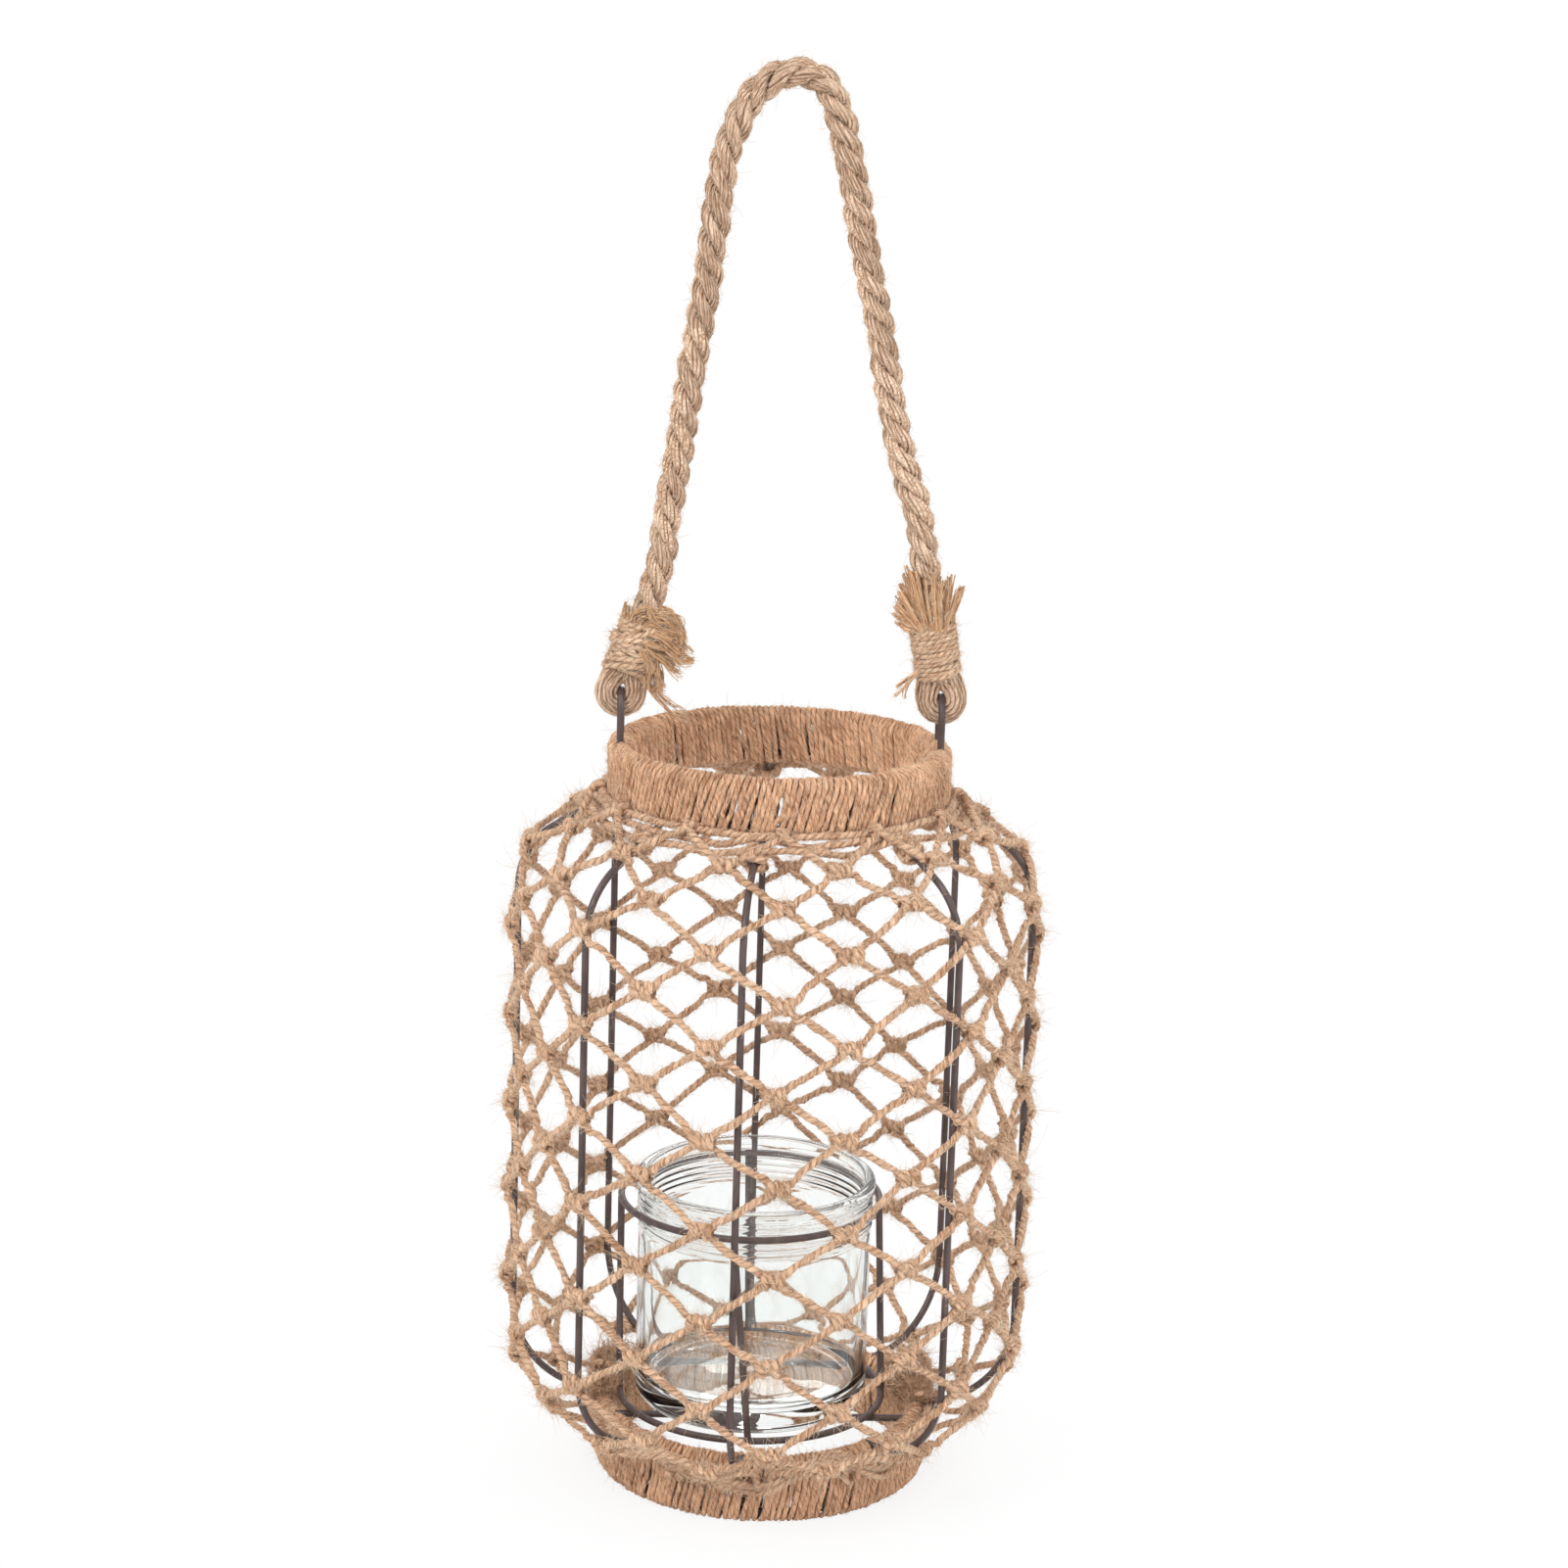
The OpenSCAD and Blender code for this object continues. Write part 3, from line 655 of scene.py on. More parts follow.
def net_profile(s):
    """(r, z, outward tilt) of the net's path, a distance down from the head cord."""
    out = WIRE_D / 2 + TWINE_D / 2
    slope_in_r = RING_R - HOOK_R * math.sin(SLOPE)
    slope_in_z = NECK_RING_Z - HOOK_R * math.cos(SLOPE)
    slope_out_r = RIB_R - SHOULDER_R * (1 - math.sin(SLOPE))
    start_r = slope_in_r + out * math.sin(SLOPE)
    start_z = slope_in_z + out * math.cos(SLOPE)
    slope_l = (slope_out_r - slope_in_r) / math.cos(SLOPE)
    shoulder_z = slope_in_z - (slope_out_r - slope_in_r) * math.tan(SLOPE) - SHOULDER_R * math.cos(SLOPE)
    begin = (HEAD_CORD_R + TWINE_D - start_r) * math.cos(SLOPE)
    foot_z = LOW_RING_Z + HOOK_R + FOOT_R
    foot_r = RIB_R - FOOT_R
    d = s + begin
    if d < slope_l:
        return start_r + d * math.cos(SLOPE), start_z - d * math.sin(SLOPE), math.pi / 2 - SLOPE
    d -= slope_l
    bend = SHOULDER_R + out
    arc = bend * (math.pi / 2 - SLOPE)
    if d < arc:
        a = math.pi / 2 - SLOPE - d / bend
        return RIB_R - SHOULDER_R + bend * math.cos(a), shoulder_z + bend * math.sin(a), a
    d -= arc
    if d < shoulder_z - foot_z:
        return RIB_R + out, shoulder_z - d, 0.0
    d -= shoulder_z - foot_z
    bend = FOOT_R + out
    a = -min(d / bend, math.acos((RING_R + FOOT_OUT - foot_r) / bend))
    return foot_r + bend * math.cos(a), foot_z + bend * math.sin(a), a


def sag(s, angle):
    """How far the net hangs in between two ribs, where it is stretched from one to the next."""
    past = (angle - RIB_ANGLES) % (2 * math.pi)
    before, after = past.min(), (2 * math.pi - past).min()
    half = (before + after) / 2
    share = math.cos(half) / math.cos(half - before)
    held = within(s / SAG_TOP) * max(SAG_LEAST, within((NET_LENGTH - s) / SAG_FOOT))
    return SAG * held * RIB_R * (1 - share)


def net_frame(s, angle):
    """Point on the net and its sideways, downward and outward directions."""
    r, z, tilt = net_profile(s)
    radial, side = bearings(angle)
    out = radial * math.cos(tilt) + UP * math.sin(tilt)
    down = np.cross(out, side)
    if down[2] > 0:
        down = -down
    return radial * r + UP * z - out * sag(s, angle), side, down, out


def knot_place(row, column):
    """Where a knot sits: its distance down the net, angle, tilt and size, unevenly as tied by hand."""
    rng = np.random.default_rng(SEED * 1000 + row * 50 + column % (2 * KNOTS_PER_ROW))
    s = FIRST_ROW + (row - 1) * ROW_PITCH + rng.uniform(-KNOT_STRAY, KNOT_STRAY)
    angle = -math.pi / 2 + column * COLUMN
    behind = max(0.0, math.sin(angle))
    angle += rng.uniform(-KNOT_SWAY, KNOT_SWAY) - BACK_TURN * behind
    return s + BACK_DROP * behind, angle, rng.uniform(-KNOT_TILT, KNOT_TILT), rng.uniform(*KNOT_SIZES)


def half_knot(row, column, hand):
    """A cord's wraps in one knot, from its upper end to its lower; hand is 1 to the right."""
    s, angle, tilt, size = knot_place(row, column)
    at, side, down, out = net_frame(s, angle)
    across = hand * (math.cos(tilt) * side + hand * math.sin(tilt) * down)
    along = math.cos(tilt) * down - math.sin(tilt) * side
    loose = np.random.default_rng(SEED * 77 + row * 53 + 7 * column + hand)
    tall, thick = size * loose.uniform(1.9, 2.5), size * loose.uniform(1.5, 2.0)
    wraps, steps = loose.choice([1.3, 1.8]), 18
    skew = loose.uniform(-0.45, 0.45)
    wide, narrowing = 3.9, 3.3
    at = at + KNOT_LIFT * out
    points = [at + size * (KNOT_REACH * across - KNOT_RISE * along)]
    for k in range(steps + 1):
        a = math.pi * (-0.35 + 2 * wraps * k / steps)
        w = wide - narrowing * k / steps + skew * math.cos(a)
        points.append(at + size * w * across - along * tall * math.cos(a) + out * thick * math.sin(a))
    points.append(at + size * (3.8 * across + 2.6 * along - 0.5 * out))
    points.append(at + size * (KNOT_REACH * across + KNOT_RISE * along))
    return points


def knot_heart(row, column):
    """The short stretch of both cords that the wraps of a knot hold together."""
    s, angle, tilt, size = knot_place(row, column)
    at, side, down, out = net_frame(s, angle)
    across = math.cos(tilt) * side + math.sin(tilt) * down
    return [at + KNOT_LIFT * out + across * w * size for w in (-4.6, -1.8, 1.8, 4.6)]


def knot_nap(shape, row, column, rng):
    """Loose fibres that stand off a knot all round."""
    s, angle, _, size = knot_place(row, column)
    at, side, down, out = net_frame(s, angle)
    each = (KNOT_HAIRS, 1)
    w = rng.uniform(-5.5, 5.5, each)
    a = rng.uniform(-0.35, 1.35, each) * math.pi
    away = np.cos(a) * down + np.sin(a) * out
    start = at + w * size * side + away * 3.0 * size
    head = side * rng.uniform(-1.2, 1.2, each) + away * rng.uniform(0.3, 1.0, each)
    length = rng.uniform(1.5, 6.5, each)
    curl = rng.standard_normal((KNOT_HAIRS, 3)) * 0.4
    shape.hairs(open_curls(start, head, curl, length, 5), 0.1, rng)


def straight_run(row, column, next_row, next_column):
    """Points on the net between two knots, so that a cord follows the ribs it crosses."""
    s0, a0 = knot_place(row, column)[:2]
    s1, a1 = knot_place(next_row, next_column)[:2]
    return [net_frame(s0 + (s1 - s0) * t, a0 + (a1 - a0) * t)[0] for t in (0.32, 0.5, 0.68)]


def cord_top(home, way):
    """A cord's start: over the head cord, between two knots of the first row."""
    radial, _ = bearings(-math.pi / 2 + home * COLUMN + way * 0.022)
    reach = TWINE_D * 0.9
    return [radial * (HEAD_CORD_R + out * reach) + UP * (HEAD_CORD_Z + rise * reach)
            for out, rise in ((-0.2, -1), (-0.2, 0.4), (0.5, 0.9), (1.5, 0.1))]


def cord_foot(home, way):
    """A cord's end: down over the lower collar's edge, to a point with its neighbour."""
    s, knot_angle = knot_place(KNOT_ROWS, home + way)[:2]
    turn = -math.pi / 2 + home * COLUMN + way * 0.03 - knot_angle
    points = [net_frame(s + (NET_LENGTH - s) * t, knot_angle + turn * 0.85 * t)[0] for t in (0.45, 0.75)]
    for t, r, z in FOOT_ROUTE:
        points.append(bearings(knot_angle + turn * t)[0] * r + UP * (LOW_RING_Z + z))
    return points


def net_cord(i):
    """One cord of the net with its half of each knot, in a strip one mesh wide."""
    rng = np.random.default_rng(SEED + 31 * i)
    home, way = 2 * ((i - 1) // 2), (1 if i % 2 else -1)
    shape, hairs = Shape(), Shape()
    points = cord_top(home, way)
    for row in range(1, KNOT_ROWS + 1):
        far = row % 2
        column = home + way * far
        hand = way * (1 - 2 * far)
        if row > 1:
            points += straight_run(row - 1, home + way * (1 - far), row, column)
        points += half_knot(row, column, hand)
        if hand > 0:
            twine(shape, knot_heart(row, column), rng, step=1.2, d=3.9)
            knot_nap(hairs, row, column, rng)
    points += cord_foot(home, way)
    path = twine(shape, points, rng)
    nap(hairs, path, rng, (3, 3.6, TWINE_D * 0.43), (0.2, 11, TWINE_D * 0.4))
    return shape, hairs


# Rounds of twine along the head cord: height, distance out and unevenness.
HEAD_ROUNDS = [(0.0, 0.0, 0.4), (-2.6, 1.6, 2.3), (-5.2, 4.4, 2.3)]
HEAD_POINTS = 26


def net_head(rng):
    """The cord that the net hangs on, with loose turns of twine round it and round each rib."""
    shape, hairs = Shape(), Shape()
    for lift, out, uneven in HEAD_ROUNDS:
        jitter = rng.uniform(-1, 1, (HEAD_POINTS, 2)) * uneven
        points = []
        for k in range(HEAD_POINTS + 2):
            a = 2 * math.pi * k / HEAD_POINTS
            jog = jitter[k % HEAD_POINTS]
            r = HEAD_CORD_R + out + jog[0]
            points.append((r * math.cos(a), r * math.sin(a), HEAD_CORD_Z + lift + jog[1]))
        path = twine(shape, points, rng, wave=0.4)
        nap(hairs, path, rng, (3, 3.6, TWINE_D * 0.43), (0.3, 11, TWINE_D * 0.4))
    for angle in RIB_ANGLES:
        path = twine(shape, rib_wrap(angle, rng), rng, d=2.7, wave=0.5)
        fuzz(hairs, path, rng, 3, reach=5.5)
    return shape, hairs


def rib_wrap(angle, rng):
    """Loose turns round a rib, from the head cord down its slope."""
    turns, steps, pitch, radius, broad, low = 4, 10, 2.1, 3.4, 1.25, 0.8
    radial, side = bearings(angle)
    along = radial * math.cos(SLOPE) - UP * math.sin(SLOPE)
    over = np.cross(side, along)
    if over[2] < 0:
        over = -over
    start_r = HEAD_CORD_R + 0.5
    drop = (start_r - RING_R + HOOK_R * math.sin(SLOPE)) * math.tan(SLOPE)
    start = radial * start_r + UP * (NECK_RING_Z - HOOK_R * math.cos(SLOPE) - drop)
    points = []
    for k in range(turns * steps + 1):
        a = 2 * math.pi * k / steps
        swell = radius + rng.uniform(-1, 1)
        points.append(start + along * (pitch * k / steps + 0.5 * rng.uniform(-1, 1))
                      + swell * (math.cos(a) * side * broad + math.sin(a) * over * low))
    return points


# The net's lowest edge dips and rises round the lower collar: degrees round,
# distance out from the rings and height over the upper of the two.
EDGE = [(-179, 5.6, -2), (-160, 6.2, 0), (-138.5, 6.3, 3.5), (-115, 6.2, -3.5), (-91.5, 6.4, -7.5),
        (-80, 6.4, -1), (-70, 5.8, 4.6), (-58, 6.4, 0), (-46.5, 6.5, -6.5), (-30, 6.3, -1.5),
        (-15.5, 6.2, 2.5), (8, 6.4, -3), (33, 6, 4), (58, 6.5, -5), (82, 6, 4), (106, 6.5, -6),
        (130, 6, 3.5), (154, 6.4, -4)]
EDGE_ROUNDS = 4


def net_edge(rng):
    """The thick, hairy bundle of twine that draws the net in round the lower collar."""
    shape, hairs = Shape(), Shape()
    for k in range(EDGE_ROUNDS):
        points = []
        for degrees, out, lift in EDGE + EDGE[:2]:
            a = math.radians(degrees)
            away = RING_R + out + rng.uniform(-0.5, 1.0)
            points.append((away * math.cos(a), away * math.sin(a),
                           LOW_RING_Z + lift + 1.4 * (k - 1.5) * rng.uniform(0.3, 1.2)))
        path = twine(shape, points, rng, d=2.3, wave=0.5)
        fuzz(hairs, path, rng, 2.4, reach=5, off=0.9)
        fuzz(hairs, path, rng, 0.35, reach=12, off=0.9, steps=6)
    return shape, hairs


def gathered_ends(rng, degrees, lean, spread=15):
    """A fat, loose bunch of the net's ends, tied to the collar's rim at a cradle bar."""
    shape = Shape()
    radial, side = bearings(math.radians(degrees))
    foot = radial * RING_R + UP * (LOW_RING_Z + 1)
    threads, ties, pitch, tie_r, loose = 260, 6, 1.9, 6.6, 1100
    for _ in range(threads):
        w = rng.uniform(-1, 1)
        start = foot + side * w * spread * 0.8 + radial * rng.uniform(-5.5, 4.5) + UP * rng.uniform(-2, 3)
        tip = start + UP * rng.uniform(7, 20) * (1 - 0.45 * w * w) + radial * lean * rng.uniform(0.2, 1)
        tip = tip + side * rng.uniform(-5, 5)
        mid = (start + tip) / 2 + rng.standard_normal(3) * 2.6
        bow = (mid + tip) / 2 + rng.standard_normal(3) * 1.6
        path = smooth_path([start, mid, bow, tip], 1.8)
        shape.strand(path, rng.uniform(0.12, 0.62), sides=5, taper=np.linspace(1, 0.4, len(path)),
                     shift=rng.uniform(0, 400))
    for k in range(ties):
        tilt, points = rng.uniform(-5, 5), []
        for j in range(13):
            a = 2 * math.pi * j / 12
            points.append(foot + side * math.cos(a) * spread * rng.uniform(0.75, 1.05)
                          + UP * (3 + pitch * k + tilt * math.cos(a) + rng.uniform(-1.2, 1.2))
                          + radial * tie_r * math.sin(a))
        path = twine(shape, points, rng, d=2.4)
        fuzz(shape, path, rng, 3.0, reach=6, steps=5)
    a = rng.uniform(0, math.pi, (loose, 1))
    start = foot + UP * rng.uniform(-2, 15, (loose, 1)) + side * np.cos(a) * spread
    start = start + radial * rng.uniform(-6, 6, (loose, 1))
    head = rng.standard_normal((loose, 3)) + 0.5 * UP
    curl = rng.standard_normal((loose, 3)) * 0.8
    length = rng.uniform(1.5, 5.5, (loose, 1))
    shape.hairs(open_curls(start, head, curl, length, 6), 0.12, rng)
    return shape


# ------------------------------------------------------------------- handle

def rope_line():
    """Points of the rope's centre line, from the left eye to the right."""
    ends = {}
    for side, sign in SIDE_SIGN.items():
        ends[side] = [(sign * (EYE_X - d * math.sin(LEAN[side])), EYE_TOP_Z + d * math.cos(LEAN[side]))
                      for d in (LOOP_D / 2 - 2, LOOP_D / 2 + WHIPPING_L + TUFT_L)]
    bow = [(x, EYE_HIGH[2] + z) for x, z in ROPE_BOW]
    return [(x, 0.0, z) for x, z in ends["left"] + bow + ends["right"][::-1]]


def rope():
    """Three strands laid up round the line, each a bundle of hairy yarns."""
    rng = np.random.default_rng(SEED + 500)
    line = smooth_path(rope_line(), 1.3)
    _, n, b = path_frames(line)
    s = run_along(line)
    shape, hairs = Shape(), Shape()
    for k in range(3):
        a = (2 * math.pi * (k / 3 - s / ROPE_LAY) + 0.18 * wander(rng, s, 25))[:, None]
        swell = 1 + 0.06 * wander(rng, s, 11)
        off = (ROPE_R - STRAND_R + 0.3 * wander(rng, s, 12))[:, None]
        path = line + off * (np.cos(a) * n + np.sin(a) * b)
        rope_strand(shape, path, swell, rng)
        nap(hairs, path, rng, (5.0, 3.6, STRAND_R * 0.97), (0.5, 9, STRAND_R * 0.95))
    return shape, hairs


def rope_strand(shape, path, swell, rng):
    """One strand: yarns side by side round a core, turned against the rope's lay."""
    shape.strand(path, STRAND_CORE_R, sides=10, taper=swell, shift=rng.uniform(0, 400))
    _, n, b = path_frames(path)
    s = run_along(path)
    for k in range(STRAND_YARNS):
        a = (2 * math.pi * (k / STRAND_YARNS + s / YARN_LAY) + 0.22 * wander(rng, s, 13))[:, None]
        lift = (STRAND_R - YARN_R + 0.22 * wander(rng, s, 9)) * swell
        yarn = path + lift[:, None] * (np.cos(a) * n + np.sin(a) * b)
        shape.strand(yarn, YARN_R, sides=YARN_SIDES, taper=1 + 0.22 * wander(rng, s, 7),
                     shift=rng.uniform(0, 400), rough=0.07 * rng.standard_normal((len(s), YARN_SIDES)))


def eye_space(side, lean=None):
    """A function that turns (across, front, along the rope) at an eye into a place."""
    sign, lean = SIDE_SIGN[side], LEAN[side] if lean is None else lean
    along = np.array([-sign * math.sin(lean), 0, math.cos(lean)])
    across = np.array([math.cos(lean), 0, sign * math.sin(lean)])
    front = np.array([0, -1.0, 0])
    origin = np.array([sign * EYE_X, 0, EYE_TOP_Z])
    return lambda x, y, z: origin + x * across + y * front + z * along


def rope_loop(side):
    """The opened yarns of the rope's end, turned round the eye and back up."""
    rng = np.random.default_rng(SEED + 600 + SIDE_SIGN[side])
    at = eye_space(side)
    shape, hairs = Shape(), Shape()
    loose = 0.55 if side == "left" else 0.25
    hole, middle, band, deep, top = 2.4, 5.9, 3.4, 4.3, LOOP_D / 2 + 3
    yarns = [(LOOP_YARN_R, 2 * math.pi * (k + 0.5) / LOOP_YARNS, band) for k in range(LOOP_YARNS)]
    for thick, a, off in [(LOOP_CORE_R, 0, 0)] + yarns:
        reach = middle + off * math.cos(a) + loose * rng.uniform(-0.5, 0.5)
        front = deep * math.sin(a)
        close = 0.3 + 0.85 * max(0.0, reach - hole)
        shut = 4.5 + 1.1 * max(0.0, reach - hole)
        rise = [(close + (reach - close) * max(0.0, 1 - (z / shut) ** 1.6), z) for z in (2.2, 4.6, 7.5, top)]
        under = [math.pi * (1 + j / 8) for j in range(9)]
        points = [(-x, z) for x, z in rise[::-1]]
        points += [(reach * math.cos(b), 1.06 * reach * math.sin(b)) for b in under] + rise
        places = []
        for x, z in points:
            x += loose * rng.uniform(-0.5, 0.5)
            y = front * (1 - 0.2 * max(0.0, z) / top) + loose * rng.uniform(-0.5, 0.5)
            places.append(at(x, y, z))
        path = smooth_path(places, 1.0)
        s = run_along(path)
        shape.strand(path, thick, taper=1 + 0.14 * wander(rng, s, 6), shift=rng.uniform(0, 400),
                     rough=0.05 * rng.standard_normal((len(s), 8)))
        if off:
            fuzz(hairs, path, rng, 2.2, 3.2, off=0.85)
    return shape, hairs


LASHINGS = {"right": {"turns": 11, "twine": 2.05, "loose": 0.28, "tilt": 0.10, "astray": 0},
            "left": {"turns": 9, "twine": 2.3, "loose": 0.85, "tilt": -0.16, "astray": 6}}


def whipping(side):
    """Twine lashed round the rope and its returned end, with the turns that have gone astray."""
    rng = np.random.default_rng(SEED + 700 + SIDE_SIGN[side])
    at = eye_space(side)
    lash = LASHINGS[side]
    shape, hairs = Shape(), Shape()
    low, steps = LOOP_D / 2 - 0.3, 14
    core = [at(0, 0, low + WHIPPING_L * t) for t in (-0.05, 0.3, 0.6, 1.03)]
    shape.strand(smooth_path(core, 2), WHIPPING_CORE_R, sides=20, flat=0.9, shift=50)
    sway = rng.uniform(-1, 1, (lash["turns"] + 2, 3))
    points = []
    for k in range(lash["turns"] * steps + 1):
        turn, part = divmod(k / steps, 1)
        mix = sway[int(turn)] * (1 - part) + sway[int(turn) + 1] * part
        a = 2 * math.pi * k / steps
        r = WHIPPING_R - lash["twine"] / 2 + 0.5 * lash["loose"] * mix[0] + 0.12 * rng.uniform(-1, 1)
        z = low + WHIPPING_L * k / (lash["turns"] * steps) + lash["loose"] * mix[1]
        z += (lash["tilt"] + 0.3 * lash["loose"] * mix[2]) * r * math.cos(a)
        points.append(at(r * math.cos(a), r * 0.92 * math.sin(a), z))
    path = twine(shape, points, rng, step=1.1, d=lash["twine"], depth=0.2)
    nap(hairs, path, rng, (3.0 + 2 * lash["loose"], 3.8, 0.9), (0.2, 9, 0.9))
    for k in range(lash["astray"]):
        skew = rng.uniform(-0.6, 0.6)
        start = low + WHIPPING_L * (0.15 + 0.13 * k)
        loop = []
        for a in np.linspace(0.2, 2 * math.pi, 15):
            z = start + ASTRAY_R * skew * math.cos(a) + rng.uniform(-0.6, 0.6)
            loop.append(at(ASTRAY_R * math.cos(a), ASTRAY_DEPTH * math.sin(a), z))
        path = twine(shape, loop, rng, d=2.2, wave=0.4)
        fuzz(hairs, path, rng, 2.2, 5, off=0.9)
    return shape, hairs


def yarn_end(shape, hairs, route, rng, width=2.1, threads=9, thick=0.36, stray=0.3):
    """A cut yarn whose threads open out towards its end."""
    path = smooth_path(route, 1.4)
    count = len(path)
    tangent = unit(np.gradient(path, axis=0))
    wide = unit(np.cross(tangent, YARN_ASIDE))
    deep = np.cross(tangent, wide)
    part = np.linspace(0, 1, count)[:, None]
    grow = width / 2 * (0.5 + 0.5 * part)
    for _ in range(threads):
        a, r = rng.uniform(0, 2 * math.pi), math.sqrt(rng.uniform(0.05, 1))
        sway = np.stack([wander(rng, np.arange(count + 1), 4)[:count] for _ in range(3)], 1)
        thread = path + grow * r * (math.cos(a) * wide + math.sin(a) * deep) + stray * (0.4 + part) * sway
        keep = max(4, count - int(rng.uniform(0, 1 + stray) ** 2 * 2))
        shape.strand(thread[:keep], thick * rng.uniform(0.55, 1.2), sides=5, taper=np.linspace(1, 0.7, keep),
                     shift=rng.uniform(0, 400))
    fuzz(hairs, path, rng, 3.0, 3.6, off=width * 0.4)


# Cut yarn ends as (across, along) from the eye's top, in line with the rope
# on the right and upright on the left, where they droop.
FAN_TIPS = [(-14.4, 32.6), (-15, 36.5), (-14.2, 40.5), (-12.6, 45.5), (-11, 48), (-9, 52), (-7.8, 55.5),
            (-5.2, 53), (-3, 50), (-0.5, 49), (2.5, 51), (5.5, 48), (8, 47), (10.2, 49.5), (12, 43),
            (14.2, 43.5)]
STRAY_TIPS = [(-18.5, 4.5), (-17.5, 7.5), (-15, 3)]
DROOPS = [[(5, 27), (8, 32), (13, 33), (18, 30.5), (21, 27), (22.5, 23.5)],
          [(5, 27), (9, 30.5), (14, 31), (19, 28), (22, 24), (22.5, 20.5)],
          [(6, 26), (11, 28), (16, 26.5), (20.5, 23.5), (23, 20.5)],
          [(6, 25), (12, 25), (18, 22), (22, 20), (25.5, 19)],
          [(6, 24), (12, 23), (17, 20), (21, 18), (25, 16.5)],
          [(7, 23), (12, 20.5), (17, 17), (22, 14.5), (26, 12.5)],
          [(7, 22), (12, 18), (16, 14), (20, 11.5), (23, 9.5)],
          [(7, 22), (11, 17), (14, 12), (15.5, 6), (15.5, 1)],
          [(6, 22), (9.5, 17), (12, 11), (13.5, 5), (14, -0.5)],
          [(5, 21), (8.5, 15), (10.5, 9), (11.5, 3.5)],
          [(4, 29), (7, 33), (10, 33.5), (14, 31), (16, 28)]]


def upright_fan(shape, hairs, rng):
    """The right tuft: yarns fanned out past the lashing, and a few that stray below it."""
    at = eye_space("right")
    for across, along in FAN_TIPS:
        for front, cut in ((rng.uniform(3, 8.5), 1), (rng.uniform(-8, -3), rng.uniform(0.6, 0.95))):
            rise = (along - CUT_Z) * cut
            route = [at(across * 0.3 * cut, front * 0.8, CUT_Z - 1), at(across * 0.42, front, CUT_Z + 3),
                     at(across * 0.68 + rng.uniform(-0.5, 0.5), front + 0.6, CUT_Z + rise * 0.55),
                     at(across * 0.95, front * 1.1, CUT_Z + rise)]
            yarn_end(shape, hairs, route, rng, width=2.5, thick=0.5)
    for across, along in STRAY_TIPS:
        route = [at(-6.5, 4, 13), at(-10, 6, 11.5), at(-13.5, 6, (9 + along) / 2 + 1.5), at(across, 6, along)]
        yarn_end(shape, hairs, route, rng, width=1.8, threads=6)


def drooping_fan(shape, hairs, rng):
    """The left tuft: yarns that hang over inwards, and two tails below them."""
    at = eye_space("left", lean=0.0)
    for droop in DROOPS:
        for front in (6.5, 3.5, 0.5):
            jog = rng.uniform(-1.8, 1.8, (len(droop), 3))
            route = [at(x + dx, front + 2.5 * min(1, 0.35 * i) + dy, z + dz)
                     for i, ((x, z), (dx, dy, dz)) in enumerate(zip(droop, jog))]
            yarn_end(shape, hairs, route, rng, width=3.0, threads=15, thick=0.3, stray=0.9)
    for up in (0, 1.6):
        tail = [at(6.5, 5, 7 + up), at(11, 7, 2.5 + up), at(16, 7, -3 + 1.5 * up),
                at(21, 6, -8 + 2 * up), at(25.5, 5, -10.5 + 2 * up)]
        yarn_end(shape, hairs, tail, rng, width=1.6, threads=8, thick=0.24, stray=0.6)


def frayed_ends(side):
    """The cut yarns beyond a lashing, teased open, with short stubs round the rope."""
    rng = np.random.default_rng(SEED + 800 + SIDE_SIGN[side])
    shape, hairs = Shape(), Shape()
    fan = upright_fan if side == "right" else drooping_fan
    fan(shape, hairs, rng)
    at = eye_space(side)
    stubs = 26
    for k in range(stubs):
        a = 2 * math.pi * k / stubs
        route = [at(8.0 * math.cos(a) * w, 7.4 * math.sin(a) * w, CUT_Z + h)
                 for w, h in ((0.9, -2), (0.98, 2.0), (1.0 + rng.uniform(-0.1, 0.15), 4 + rng.uniform(1, 4)))]
        yarn_end(shape, hairs, route, rng, width=2.4, threads=6)
    return shape, hairs


# ---------------------------------------------------------------------- jar

def round_stretch(r, z, radius, start, end, count):
    """Points of a round stretch about (r, z), between two angles from straight out."""
    return [(r + radius * math.cos(a), z + radius * math.sin(a)) for a in np.linspace(start, end, count)]


